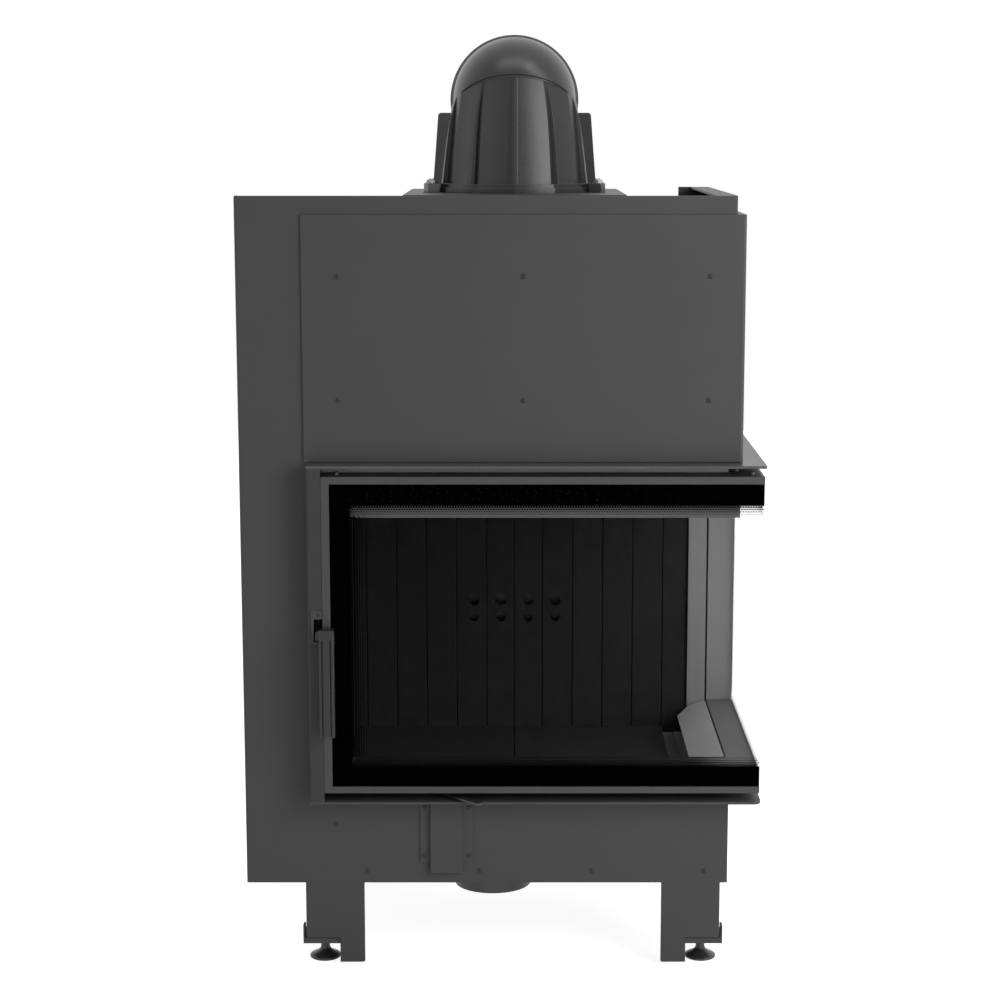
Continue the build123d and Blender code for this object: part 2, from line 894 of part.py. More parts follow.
# Flue bell: a ribbed casting that leans in to a tilted seam
bell_sections = [
    (flue_y, ring_top, 0, bell_radius, bell_radius),
    (flue_y, ring_top + 0.43 * bell_height, 0.33 * seam_tilt, 0.955 * bell_radius, 0.955 * bell_radius),
    (flue_y, ring_top + 0.76 * bell_height, 0.68 * seam_tilt, 0.918 * bell_radius, 0.918 * bell_radius),
    (seam_y, seam_z, seam_tilt, seam_radius, seam_radius),
]
rib_sections = [
    (y, z, tilt, wide + proud, high + proud)
    for (y, z, tilt, wide, high), proud in zip(bell_sections, rib_proud)
]
fin_underside = ring_top + seam_gap
with BuildPart() as bell_ribs:
    cast_loft(rib_sections, 0, Mode.ADD)
    with BuildSketch(Plane.XY.offset(ring_top)) as rib_plan:
        with Locations((middle, flue_y)):
            with PolarLocations(bell_radius, rib_count, start_angle=-90):
                Rectangle(bell_radius, rib_width)
    extrude(rib_plan.sketch, amount=2 * bell_height, mode=Mode.INTERSECT)

with BuildPart() as flue_bell:
    with BuildSketch(Plane.XY.offset(plate_top)):
        with Locations((middle, flue_y)):
            Circle(ring_flange_radius)
    extrude(amount=ring_flange_height)
    with BuildSketch(Plane.XY.offset(plate_top)):
        with Locations((middle, flue_y)):
            Circle(ring_radius)
    extrude(amount=ring_height)
    cast_loft(bell_sections, 0, Mode.ADD)
    add(bell_ribs.part)
    with BuildSketch(Plane.XZ.offset(-flue_y)) as fin_shape:
        for sign in (-1, 1):
            with BuildLine() as fin_line:
                Polyline(
                    (middle + sign * (seam_radius - cast_wall / 2), ring_top),
                    (middle + sign * (ring_radius - 2), ring_top),
                    (middle + sign * (ring_radius - 2), fin_underside),
                    (middle + sign * fin_foot, fin_underside),
                    (middle + sign * fin_reach, seam_z - fin_drop - fin_chamfer),
                    (middle + sign * (fin_reach - fin_chamfer), seam_z - fin_drop),
                    (middle + sign * (seam_radius - cast_wall / 2), seam_z - fin_drop),
                    close=True,
                )
            make_face(fin_line.edges())
    extrude(fin_shape.sketch, amount=fin_thick / 2, both=True)
    cast_loft(bell_sections, -cast_wall, Mode.SUBTRACT)
    with BuildSketch(Plane.XY.offset(plate_top)) as throat:
        with Locations((middle, flue_y)):
            Circle(flue_bore)
    extrude(throat.sketch, amount=ring_height + 2, mode=Mode.SUBTRACT)

# Flue elbow: a bend over the seam, a straight neck and a flare out to a level collar
collar_z = seam_z + elbow_rise
bend = elbow_rise / (1 - sin(radians(seam_tilt)))
bend_y = seam_y + bend * cos(radians(seam_tilt))
bend_z = seam_z - bend * sin(radians(seam_tilt))
flare_y = collar_y - flare_length


def elbow_body(inset, mode):
    """The bend, neck and flare, drawn in by the inset."""
    radius = elbow_radius - inset
    half = sqrt(radius**2 - bend**2)
    with BuildSketch(flue_section(bend_y, bend_z, 90)) as bend_half:
        with BuildLine() as bend_line:
            ThreePointArc((-half, 0), (0, -bend - radius), (half, 0))
            Line((half, 0), (-half, 0))
        make_face(bend_line.edges())
    bend_axis = Axis((middle, bend_y, bend_z), (1, 0, 0))
    revolve(bend_half.sketch, axis=bend_axis, revolution_arc=93 - seam_tilt, mode=mode)
    with BuildSketch(flue_section(bend_y, bend_z, 90)) as neck:
        with BuildLine() as neck_line:
            ThreePointArc((-half, 0), (0, -bend - radius), (half, 0))
            ThreePointArc((half, 0), (0, neck_floor - inset), (-half, 0))
        make_face(neck_line.edges())
    extrude(neck.sketch, amount=collar_y - bend_y, mode=mode)
    with BuildSketch(flue_section(flare_y, collar_z, 90)) as flare_small:
        Circle(flare_radius - inset)
    with BuildSketch(flue_section(collar_y, collar_z, 90)) as flare_large:
        Circle(collar_radius_outer - inset)
    loft([flare_small.sketch.face(), flare_large.sketch.face()], ruled=True, mode=mode)


with BuildPart() as flue_elbow:
    elbow_body(0, Mode.ADD)
    with BuildSketch(flue_section(collar_y, collar_z, 90)) as collar_plan:
        Circle(collar_radius_outer)
    extrude(collar_plan.sketch, amount=collar_length)
    elbow_body(cast_wall, Mode.SUBTRACT)
    with BuildSketch(flue_section(collar_y, collar_z, 90)) as collar_hole:
        Circle(collar_bore)
    extrude(collar_hole.sketch, amount=collar_length, mode=Mode.SUBTRACT)
    split(bisect_by=flue_section(seam_y, seam_z, seam_tilt).offset(seam_gap), keep=Keep.TOP)

# Clamps that hold the bell's flange down, and their bolts
clamp_inner = ring_flange_radius + clamp_gap
clamp_outer = clamp_inner + clamp_depth
clamp_bolt = (clamp_inner + clamp_outer) / 2 + 2
clamp_angles = [side * 90 - 90 + up * clamp_spread for side in (1, 3) for up in (-1, 1)]


def clamp_plane(angle, z):
    """A level plane on the flue's axis, its X pointing out at the angle."""
    turn = radians(angle)
    return Plane(origin=(middle, flue_y, z), x_dir=(cos(turn), sin(turn), 0), z_dir=(0, 0, 1))


with BuildPart() as flue_clamps:
    for angle in clamp_angles:
        with BuildSketch(clamp_plane(angle, plate_top)) as block_plan:
            with Locations((clamp_inner, 0)):
                Rectangle(clamp_depth, clamp_width, align=(Align.MIN, Align.CENTER))
        extrude(block_plan.sketch, amount=clamp_height)
        with BuildSketch(clamp_plane(angle, plate_top + ring_flange_height + seam_gap)) as finger_plan:
            with Locations((ring_radius + 1, 0)):
                Rectangle(clamp_inner + 2 - ring_radius, clamp_width / 2, align=(Align.MIN, Align.CENTER))
        extrude(finger_plan.sketch, amount=clamp_height - ring_flange_height - seam_gap)
        with BuildSketch(clamp_plane(angle, plate_top)) as clamp_hole:
            with Locations((clamp_bolt, 0)):
                Circle(bolt_radius + bolt_clear)
        extrude(clamp_hole.sketch, amount=clamp_height, mode=Mode.SUBTRACT)

with BuildPart() as clamp_bolts:
    for angle in clamp_angles:
        with BuildSketch(clamp_plane(angle, plate_top)) as bolt_shank:
            with Locations((clamp_bolt, 0)):
                Circle(bolt_radius)
        extrude(bolt_shank.sketch, amount=clamp_height)
        with BuildSketch(clamp_plane(angle, plate_top + clamp_height)) as bolt_top:
            with Locations((clamp_bolt, 0)):
                RegularPolygon(bolt_head, 6)
        extrude(bolt_top.sketch, amount=bolt_head_height)

# Outside air: box under the firebox, and the spigot through the base
air_rear = face + spigot_setback + spigot_radius + spigot_flange + air_sheet + 5
riser_rear = opening_front + lip_depth - 0.3
box_floor = casing_bottom + casing_sheet


def air_box_outline(inset):
    """The air box from the side, open below and at the top of its riser."""
    open_end = 1 if inset else 0
    with BuildLine() as line:
        Polyline(
            (air_front + inset, box_floor - open_end),
            (air_rear - inset, box_floor - open_end),
            (air_rear - inset, floor_under - inset),
            (riser_rear - inset, floor_under - inset),
            (riser_rear - inset, ledge_under + open_end),
            (air_front + inset, ledge_under + open_end),
            close=True,
        )
    make_face(line.edges())


with BuildPart() as air_box:
    with BuildSketch(Plane.YZ.offset(air_x)) as box_outside:
        air_box_outline(0)
    extrude(box_outside.sketch, amount=air_box_width / 2, both=True)
    with BuildSketch(Plane.YZ.offset(air_x)) as box_inside:
        air_box_outline(air_sheet)
    extrude(box_inside.sketch, amount=air_box_width / 2 - air_sheet, both=True, mode=Mode.SUBTRACT)

spigot_top = casing_bottom - spigot_shoulder
spigot_steps = [
    (casing_bottom - spigot_length, spigot_top, spigot_radius),
    (spigot_top, box_floor, spigot_radius + spigot_boss),
    (box_floor, box_floor + casing_sheet, spigot_radius + spigot_flange),
]
with BuildPart() as air_spigot:
    for step_low, step_high, step_radius in spigot_steps:
        with BuildSketch(Plane.XY.offset(step_low)) as spigot_ring:
            with Locations((air_x, face + spigot_setback)):
                Circle(step_radius)
                Circle(spigot_radius - air_sheet, mode=Mode.SUBTRACT)
        extrude(spigot_ring.sketch, amount=step_high - step_low)

# Air slide and the lever that drives it
tail_angle = radians(180 - lever_angle)
tail_x = pivot_x + tail_length * cos(tail_angle)
tail_y = pivot_y + tail_length * sin(tail_angle)
slide_travel = 14.5
slide_left = pivot_x - 25
slide_right = air_slot_x[-1] + air_slot_width / 2 + 6
with BuildPart() as air_slide:
    slab(
        (slide_left, slide_right),
        (slide_middle - slide_depth / 2, slide_middle + slide_depth / 2),
        (slide_bottom, slide_top),
    )
    with BuildSketch(Plane.XY.offset(slide_bottom)) as slide_cuts:
        with Locations(*[(x + slide_travel / 2, slide_middle) for x in air_slot_x]):
            SlotOverall(air_slot_depth, air_slot_width, rotation=90)
        with Locations((pivot_x - slide_travel / 2, pivot_y)):
            SlotOverall(slide_travel + 2 * pivot_radius + 1, 2 * pivot_radius + 1)
        with Locations((tail_x, tail_y + 2)):
            Rectangle(2 * drive_radius + 2 * drive_play, 10)
    extrude(slide_cuts.sketch, amount=slide_sheet, mode=Mode.SUBTRACT)

lever_plane = Plane(
    origin=(pivot_x, pivot_y, lever_bottom),
    x_dir=(cos(radians(lever_angle)), -sin(radians(lever_angle)), 0),
    z_dir=(0, 0, 1),
)
with BuildPart() as air_lever:
    with BuildSketch(lever_plane):
        with Locations(((lever_length - tail_length) / 2, 0)):
            SlotCenterToCenter(lever_length + tail_length, lever_width)
        Circle(pivot_radius + pin_clear, mode=Mode.SUBTRACT)
    extrude(amount=lever_thick)
    with BuildSketch(lever_plane.offset(slide_bottom + 0.2 - lever_bottom)) as drive_pin:
        with Locations((-tail_length, 0)):
            Circle(drive_radius)
    extrude(drive_pin.sketch, amount=lever_bottom - slide_bottom)

# Hinge brackets on the ledge and under the shelf
with BuildPart() as hinge_brackets:
    for bracket_z, bracket_side in ((ledge_top, 1), (shelf_under, -1)):
        with BuildSketch(Plane.XY.offset(bracket_z)) as bracket_plan:
            with Locations((hinge_x, hinge_y)):
                RectangleRounded(hinge_width, hinge_width, 6)
        extrude(bracket_plan.sketch, amount=bracket_side * hinge_plate)
    with BuildSketch(Plane.XY.offset(ledge_top + hinge_plate)) as collar:
        with Locations((hinge_x, hinge_y)):
            Circle(collar_radius)
    extrude(collar.sketch, amount=door_gap_low - hinge_plate)
    with BuildSketch(Plane.XY.offset(door_bottom)) as lower_pin:
        with Locations((hinge_x, hinge_y)):
            Circle(pin_radius)
    extrude(lower_pin.sketch, amount=pin_length)
    with BuildSketch(Plane.XY.offset(door_top - pin_length)) as upper_pin:
        with Locations((hinge_x, hinge_y)):
            Circle(pin_radius)
    extrude(upper_pin.sketch, amount=pin_length + door_gap_high - hinge_plate)

# Door frame of square tube: rails round the corner, a left stile and a rear stile
rear_stile_front = door_rear - rear_stile_depth


def corner_rail(low, high):
    """A tube round the door's corner, open at both ends."""
    band(door_left, rear_stile_front, glass_thick, frame_depth, low, high)
    inner = frame_depth - 2 * tube_wall
    with BuildSketch(Plane.XY.offset(low + tube_wall)) as hollow:
        corner_band(door_left - 1, rear_stile_front + 1, glass_thick + tube_wall, inner)
    extrude(hollow.sketch, amount=high - low - 2 * tube_wall, mode=Mode.SUBTRACT)


frame_front = glass_front + glass_thick
frame_inner_y = glass_front + door_inner
frame_inner_x = glass_side - door_inner
rail_screws = [
    (hinge_x - 3, frame_front + 18),
    (frame_inner_x + 9, frame_inner_y + 10),
    (door_left + 22, frame_front + 18),
    (frame_inner_x + 21, rear_stile_front - 30),
]

with BuildPart() as door_bottom_rail:
    corner_rail(door_bottom, sill_top)

with BuildPart() as door_top_rail:
    corner_rail(header_bottom, door_top)
    drill(Plane.XY.offset(door_top), rail_screws, shank_hole, tube_wall)

with BuildPart() as door_screws:
    button_screws(Plane.XY.offset(door_top), rail_screws)

with BuildPart() as door_left_stile:
    slab((door_left, door_left + left_stile_width), (frame_front, frame_inner_y), (sill_top, header_bottom))
    slab(
        (door_left + tube_wall, door_left + left_stile_width - tube_wall),
        (frame_front + tube_wall, frame_inner_y - tube_wall),
        (sill_top, header_bottom),
        Mode.SUBTRACT,
    )
    drill(
        Plane.XZ.offset(-frame_front), [(handle_x, handle_z)], spindle_radius + pin_clear, tube_wall
    )

with BuildPart() as door_rear_stile:
    slab((frame_inner_x, glass_side - glass_thick), (rear_stile_front, door_rear), (door_bottom, door_top))
    slab(
        (frame_inner_x + tube_wall, glass_side - glass_thick - tube_wall),
        (rear_stile_front + tube_wall, door_rear - tube_wall),
        (door_bottom + hinge_plate, door_top - hinge_plate),
        Mode.SUBTRACT,
    )
    drill(Plane.XY.offset(door_top), [(hinge_x, hinge_y)], pin_radius + pin_clear, glass_height)

# Panes and the bars that lie flush with them
pane_left = door_left + bar_left
pane_bottom = door_bottom + bar_bottom
pane_top = door_top - bar_top
with BuildPart() as glazing_bars:
    band(door_left, door_rear, 0, glass_thick, door_bottom, pane_bottom)
    band(door_left, door_rear, 0, glass_thick, pane_top, door_top)
    slab((door_left, pane_left), (glass_front, frame_front), (pane_bottom, pane_top))
    drill(
        Plane.XZ.offset(-glass_front), [(handle_x, handle_z)], spindle_radius + pin_clear, glass_thick
    )

with BuildPart() as front_glass:
    slab((pane_left, glass_side), (glass_front, frame_front), (pane_bottom, pane_top))

with BuildPart() as side_glass:
    slab((glass_side - glass_thick, glass_side), (frame_front, door_rear), (pane_bottom, pane_top))

with BuildPart() as air_wash_strip:
    wash_left = door_left + left_stile_width
    band(wash_left, rear_stile_front, wash_inset, wash_sheet, header_bottom - wash_height, header_bottom)
    band(
        wash_left,
        rear_stile_front,
        wash_inset,
        wash_flange,
        header_bottom - wash_height,
        header_bottom - wash_height + wash_sheet,
    )

gasket_depth = seal_gap - gasket_clear
gasket_left = door_left + gasket_inset
gasket_rear = rear_stile_front + gasket_inset
gasket_low = sill_top - gasket_inset - gasket_height
gasket_high = header_bottom + gasket_inset
with BuildPart() as door_gasket:
    band(gasket_left, gasket_rear, door_inner, gasket_depth, gasket_low, gasket_low + gasket_height)
    band(gasket_left, gasket_rear, door_inner, gasket_depth, gasket_high, gasket_high + gasket_height)
    slab(
        (gasket_left, gasket_left + gasket_height),
        (frame_inner_y, frame_inner_y + gasket_depth),
        (gasket_low, gasket_high + gasket_height),
    )
    slab(
        (frame_inner_x - gasket_depth, frame_inner_x),
        (gasket_rear - gasket_height, gasket_rear),
        (gasket_low, gasket_high + gasket_height),
    )

# Handle: a grooved grip under a cap, and the spindle with its latch
grip_back = glass_front - grip_standoff
grip_front = grip_back - grip_depth
grip_top = handle_z + cap_height / 2
with BuildPart() as handle_grip:
    with BuildSketch(Plane.XY.offset(grip_top - cap_height - grip_length)) as grip_plan:
        with Locations((handle_x, (grip_front + grip_back) / 2)):
            RectangleRounded(grip_width, grip_depth, 2.5)
        for sign in (-1, 1):
            with Locations(
                (handle_x + sign * (grip_width / 2 - grip_wall - groove_width / 2), grip_front)
            ):
                Rectangle(groove_width, 2 * groove_depth, mode=Mode.SUBTRACT)
    extrude(amount=grip_length)

latch_back = glass_front - latch_clear
hook_x = handle_x - hook_reach
hook_z = handle_z - hook_drop
with BuildPart() as latch_cam:
    with BuildSketch(Plane.XY.offset(grip_top - cap_height)) as cap_plan:
        with Locations((handle_x, (grip_front + grip_back) / 2)):
            RectangleRounded(grip_width, grip_depth, 2.5)
    extrude(amount=cap_height)
    with BuildSketch(Plane.XZ.offset(-grip_back)) as cam_plan:
        with BuildLine() as cam_line:
            Polyline(
                (handle_x, handle_z - boss_radius),
                (handle_x, handle_z + boss_radius),
                (hook_x - hook_width / 2, hook_z + hook_height / 2),
                (hook_x - hook_width / 2, hook_z - hook_height / 2),
                close=True,
            )
        make_face(cam_line.edges())
        with Locations((handle_x, handle_z)):
            Circle(boss_radius)
    extrude(cam_plan.sketch, amount=-latch_plate)
    with BuildSketch(Plane.XZ.offset(-latch_back)) as hook_plan:
        with Locations((hook_x, hook_z)):
            SlotOverall(hook_height, hook_width, rotation=90)
    extrude(hook_plan.sketch, amount=-hook_depth)
    with BuildSketch(Plane.XZ.offset(-latch_back)) as spindle_plan:
        with Locations((handle_x, handle_z)):
            Circle(spindle_radius)
    extrude(spindle_plan.sketch, amount=-(latch_clear + glass_thick + tube_wall + 4))
    slab(
        (handle_x, handle_x + key_length),
        (frame_front + tube_wall + seam_gap, frame_front + tube_wall + seam_gap + key_thick),
        (handle_z - key_width / 2, handle_z + key_width / 2),
    )

# Legs: a folded sheet with a tongue to the floor, a bracket for the foot and its turned-up ear
leg_left = casing_left + leg_side
leg_right = casing_right - leg_inset
leg_flat_end = bracket_height + leg_cut_gap
foot_plate = leg_left - bracket_ear
with BuildPart() as leg_front_left:
    with BuildSketch(front_plane) as leg_front:
        with BuildLine() as leg_line:
            Polyline(
                (leg_left, casing_bottom),
                (leg_left, leg_flat_end),
                (leg_left + leg_width - tongue_width, leg_flat_end),
                (leg_left + leg_width - tongue_width, tongue_floor),
                (leg_left + leg_width, tongue_floor),
                (leg_left + leg_width, casing_bottom),
                close=True,
            )
        make_face()
        fillet(leg_front.vertices().group_by(Axis.Y)[0].sort_by(Axis.X)[-1], tongue_corner)
    extrude(amount=-casing_sheet)
    slab(
        (leg_left, leg_left + casing_sheet),
        (face + casing_sheet, face + leg_depth),
        (leg_flat_end, casing_bottom),
    )
    slab(
        (leg_left + casing_sheet, leg_left + leg_width),
        (face + casing_sheet, face + leg_depth),
        (casing_bottom - casing_sheet, casing_bottom),
    )
    slab(
        (foot_plate, leg_left + leg_width - bracket_end),
        (face + casing_sheet, face + leg_depth),
        (bracket_height - bracket_thick, bracket_height),
    )
    slab(
        (foot_plate, leg_left + leg_width - tongue_width + casing_sheet),
        (face + casing_sheet, face + 2 * casing_sheet),
        (bracket_height - bracket_skirt, bracket_height),
    )
    slab(
        (foot_plate, foot_plate + bracket_thick),
        (face + casing_sheet, face + casing_sheet + bracket_ear_depth),
        (bracket_height - bracket_skirt, bracket_height - bracket_skirt + bracket_ear_height),
    )
    drill(
        Plane.XY.offset(bracket_height),
        [(leg_left + foot_inset, face + foot_setback)],
        foot_stem + pin_clear,
        bracket_thick,
    )

middle_depth = Plane.XZ.offset(-(face + back) / 2)
middle_width = Plane.YZ.offset((leg_left + leg_right) / 2)
with BuildPart() as leg_rear_left:
    mirror(leg_front_left.part, about=middle_depth)
with BuildPart() as leg_front_right:
    mirror(leg_front_left.part, about=middle_width)
with BuildPart() as leg_rear_right:
    mirror(leg_rear_left.part, about=middle_width)


def levelling_foot(x, y):
    """A turned disc with a neck under the bracket and a threaded stem through it."""
    stop = bracket_height - bracket_thick
    with BuildSketch(Plane.XZ.offset(-y)) as foot_half:
        with BuildLine() as foot_line:
            Polyline(
                (x, 0),
                (x + foot_radius - 1, 0),
                (x + foot_radius, 2),
                (x + foot_radius - 1.5, 5),
                (x + foot_neck + 5, foot_height - 3),
                (x + foot_neck, foot_height),
                (x + foot_neck, stop),
                (x + foot_stem, stop),
                (x + foot_stem, stop + stem_length),
                (x, stop + stem_length),
                close=True,
            )
        make_face(foot_line.edges())
    revolve(foot_half.sketch, axis=Axis((x, y, 0), (0, 0, 1)))


left_foot_x = leg_left + foot_inset
right_foot_x = leg_right - foot_inset
front_foot_y = face + foot_setback
rear_foot_y = back - foot_setback
with BuildPart() as foot_front_left:
    levelling_foot(left_foot_x, front_foot_y)
with BuildPart() as foot_front_right:
    levelling_foot(right_foot_x, front_foot_y)
with BuildPart() as foot_rear_left:
    levelling_foot(left_foot_x, rear_foot_y)
with BuildPart() as foot_rear_right:
    levelling_foot(right_foot_x, rear_foot_y)

pieces = {
    "casing_front": casing_front,
    "casing_side": casing_side,
    "casing_rear": casing_rear,
    "casing_glazed_side": casing_glazed_side,
    "base_plate": base_plate,
    "service_panel": service_panel,
    "lower_cover": lower_cover,
    "casing_screws": casing_screws,
    "top_shelf": top_shelf,
    "bottom_ledge": bottom_ledge,
    "left_jamb": left_jamb,
    "keeper_plate": keeper_plate,
    "front_sill": front_sill,
    "side_sill": side_sill,
    "opening_header": opening_header,
    "inner_jamb": inner_jamb,
    "rear_post": rear_post,
    "firebox_side_wall": firebox_side_wall,
    "firebox_rear_wall": firebox_rear_wall,
    "firebox_floor": firebox_floor,
    "firebox_top": firebox_top,
    "back_lining_left": back_lining_left,
    "back_lining_right": back_lining_right,
    "side_lining": side_lining,
    "floor_lining_left": floor_lining_left,
    "floor_lining_right": floor_lining_right,
    "floor_strip": floor_strip,
    "baffle": baffle,
    "smoke_hood": smoke_hood,
    "flue_plate": flue_plate,
    "flue_clamps": flue_clamps,
    "clamp_bolts": clamp_bolts,
    "flue_bell": flue_bell,
    "flue_elbow": flue_elbow,
    "air_box": air_box,
    "air_spigot": air_spigot,
    "air_slide": air_slide,
    "air_lever": air_lever,
    "hinge_brackets": hinge_brackets,
    "door_bottom_rail": door_bottom_rail,
    "door_top_rail": door_top_rail,
    "door_left_stile": door_left_stile,
    "door_rear_stile": door_rear_stile,
    "door_screws": door_screws,
    "glazing_bars": glazing_bars,
    "front_glass": front_glass,
    "side_glass": side_glass,
    "air_wash_strip": air_wash_strip,
    "door_gasket": door_gasket,
    "handle_grip": handle_grip,
    "latch_cam": latch_cam,
    "leg_front_left": leg_front_left,
    "leg_front_right": leg_front_right,
    "leg_rear_left": leg_rear_left,
    "leg_rear_right": leg_rear_right,
    "foot_front_left": foot_front_left,
    "foot_front_right": foot_front_right,
    "foot_rear_left": foot_rear_left,
    "foot_rear_right": foot_rear_right,
}
os.makedirs("parts", exist_ok=True)
for name, piece in pieces.items():
    piece.part.label = name
    export_step(piece.part, f"parts/{name}.step")
print(
    "overall", 2 * shelf_right, casing_depth, lever_reach, "face", face, "middle", middle, "flue", flue_y
)
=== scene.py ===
import json
import math

import bpy
import numpy as np
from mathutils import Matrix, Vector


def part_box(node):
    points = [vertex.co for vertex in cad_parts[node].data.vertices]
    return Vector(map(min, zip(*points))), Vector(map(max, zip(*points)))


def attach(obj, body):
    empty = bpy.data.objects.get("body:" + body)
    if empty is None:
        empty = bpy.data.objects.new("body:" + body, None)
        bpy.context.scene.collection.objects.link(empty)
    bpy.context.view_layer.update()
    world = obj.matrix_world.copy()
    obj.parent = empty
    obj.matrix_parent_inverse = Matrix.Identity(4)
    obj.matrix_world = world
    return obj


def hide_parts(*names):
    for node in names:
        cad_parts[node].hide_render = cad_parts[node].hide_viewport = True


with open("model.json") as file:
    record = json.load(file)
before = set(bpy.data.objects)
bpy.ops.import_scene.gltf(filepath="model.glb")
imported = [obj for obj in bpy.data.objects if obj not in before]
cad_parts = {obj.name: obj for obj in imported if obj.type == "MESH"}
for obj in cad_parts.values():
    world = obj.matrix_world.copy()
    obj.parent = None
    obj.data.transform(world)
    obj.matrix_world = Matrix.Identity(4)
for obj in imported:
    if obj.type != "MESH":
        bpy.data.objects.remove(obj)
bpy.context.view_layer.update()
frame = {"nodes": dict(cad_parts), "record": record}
nodes = frame["nodes"]
MM = 0.001


# Materials
def linear(code):
    """An sRGB hex colour as linear RGBA: a power of 2.4 above the curve's short straight foot."""
    s = np.array([int(code[i : i + 2], 16) for i in (0, 2, 4)]) / 255
    out = np.where(s <= 0.04045, s / 12.92, ((s + 0.055) / 1.055) ** 2.4)
    return (*(float(v) for v in out), 1.0)


def per_metre(size_mm):
    """The pattern scale that repeats a texture once in a size given in millimetres."""
    return 1000.0 / size_mm


def add(tree, kind, links=None, values=None, **settings):
    """Adds a node with its settings, its sockets' values and the links into it."""
    node = tree.nodes.new(kind)
    for key, value in settings.items():
        setattr(node, key, value)
    for socket, value in (values or {}).items():
        node.inputs[socket].default_value = value
    for socket, source in (links or {}).items():
        tree.links.new(source, node.inputs[socket])
    return node


def ends(low, high, start, end):
    """The ends of a mapping from low and high to start and end."""
    return {"From Min": low, "From Max": high, "To Min": start, "To Max": end}


def new_material(name):
    """An empty node material and its tree."""
    material = bpy.data.materials.new(name)
    material.use_nodes = True
    material.node_tree.nodes.clear()
    return material, material.node_tree


def finish(name, colour, roughness, grit_mm=1.0, lift_mm=0.04, cloud_mm=140.0, drift=0.06, edge_mm=0.8,
           edge_highlight=0.25, facets=None, shade_span=None, **shader_values):
    """A coated or cast surface: clouds in the tone, grit in the relief and rounded edges with a painted
    highlight.

    Facets are a centre, a count and a share: the normal leans by that share towards the middle of the
    facet that the point's angle round the centre falls in, as on a casting whose panels are almost flat.
    The span given for painted shade is two places along X, in metres, between which the tone falls towards
    the left.
    The edges get a paler tone, a painted highlight, where the cosine between the rounded and the flat normal
    falls below one.
    """
    edge_start, edge_full = 0.995, 0.8
    shade_share = 0.1
    gloss_drift = 0.04
    material, tree = new_material(name)
    place = add(tree, "ShaderNodeTexCoord").outputs["Object"]
    cloud = add(
        tree, "ShaderNodeTexNoise", {"Vector": place},
        {"Scale": per_metre(cloud_mm), "Detail": 5.0, "Roughness": 0.62},
    ).outputs[0]
    grit = add(
        tree, "ShaderNodeTexNoise", {"Vector": place},
        {"Scale": per_metre(grit_mm), "Detail": 3.0, "Roughness": 0.55},
    ).outputs[0]
    rounded = add(tree, "ShaderNodeBevel", values={"Radius": edge_mm * MM}, samples=4).outputs[0]
    flat = add(tree, "ShaderNodeNewGeometry").outputs["Normal"]
    relief_base = rounded
    if facets:
        (x, y), count, share = facets
        out = add(tree, "ShaderNodeVectorMath", {0: place}, {1: (x, y, 0)}, operation="SUBTRACT").outputs[0]
        part = add(tree, "ShaderNodeSeparateXYZ", {0: out}).outputs
        turn = add(tree, "ShaderNodeMath", {0: part["Y"], 1: part["X"]}, operation="ARCTAN2").outputs[0]
        step = 2 * math.pi / count
        edge = add(tree, "ShaderNodeMath", {0: turn}, {1: step}, operation="SNAP").outputs[0]
        middle = add(tree, "ShaderNodeMath", {0: edge}, {1: step / 2}, operation="ADD").outputs[0]
        cosine = add(tree, "ShaderNodeMath", {0: middle}, operation="COSINE").outputs[0]
        sine = add(tree, "ShaderNodeMath", {0: middle}, operation="SINE").outputs[0]
        facing = add(tree, "ShaderNodeCombineXYZ", {0: cosine, 1: sine}).outputs[0]
        relief_base = add(
            tree, "ShaderNodeVectorMath", {0: facing, 2: rounded}, {1: (share,) * 3},
            operation="MULTIPLY_ADD",
        ).outputs[0]
    along = add(tree, "ShaderNodeVectorMath", {0: rounded, 1: flat}, operation="DOT_PRODUCT").outputs["Value"]
    # Painted highlight: the tone is raised on the rounded edges, where light would catch them
    highlit_edge = add(
        tree, "ShaderNodeMapRange", {"Value": along}, ends(edge_start, edge_full, 0.0, edge_highlight)
    ).outputs[0]
    tone = add(tree, "ShaderNodeMapRange", {"Value": cloud}, ends(0.3, 0.7, 1 - drift, 1 + drift)).outputs[0]
    total = add(tree, "ShaderNodeMath", {0: tone, 1: highlit_edge}, operation="ADD").outputs[0]
    # Painted shade: between the span's two places along X the tone falls towards the left, down to the shaded
    # share
    if shade_span:
        right = add(tree, "ShaderNodeSeparateXYZ", {0: place}).outputs["X"]
        full_tone = add(tree, "ShaderNodeMapRange", {"Value": right}, ends(*shade_span, shade_share, 1.0)).outputs[0]
        total = add(tree, "ShaderNodeMath", {0: total, 1: full_tone}, operation="MULTIPLY").outputs[0]
    shade = add(
        tree, "ShaderNodeVectorMath", {"Scale": total}, {0: linear(colour)[:3]}, operation="SCALE"
    ).outputs[0]
    bump = add(
        tree, "ShaderNodeBump", {"Height": grit, "Normal": relief_base},
        {"Strength": 0.6, "Distance": lift_mm * MM},
    ).outputs[0]
    gloss = add(
        tree, "ShaderNodeMapRange", {"Value": cloud},
        ends(0.25, 0.75, roughness - gloss_drift, roughness + gloss_drift),
    ).outputs[0]
    shader = add(
        tree, "ShaderNodeBsdfPrincipled", {"Base Color": shade, "Roughness": gloss, "Normal": bump},
        shader_values,
    )
    add(tree, "ShaderNodeOutputMaterial", {"Surface": shader.outputs[0]})
    return material


# Powder-coated sheet: even mid grey with the fine orange peel of the coat
powder_coat = finish(
    "matt grey powder coat on sheet steel", "424242", 0.5, grit_mm=1.1, drift=0.04,
    **{"Specular IOR Level": 0.3},
)
# Stove paint on the glass bars and the firebox's outside, a little smoother than the sheets
bar_paint = finish(
    "satin stove paint on flat steel bar", "464646", 0.42, grit_mm=0.9, lift_mm=0.02,
    **{"Specular IOR Level": 0.3},
)
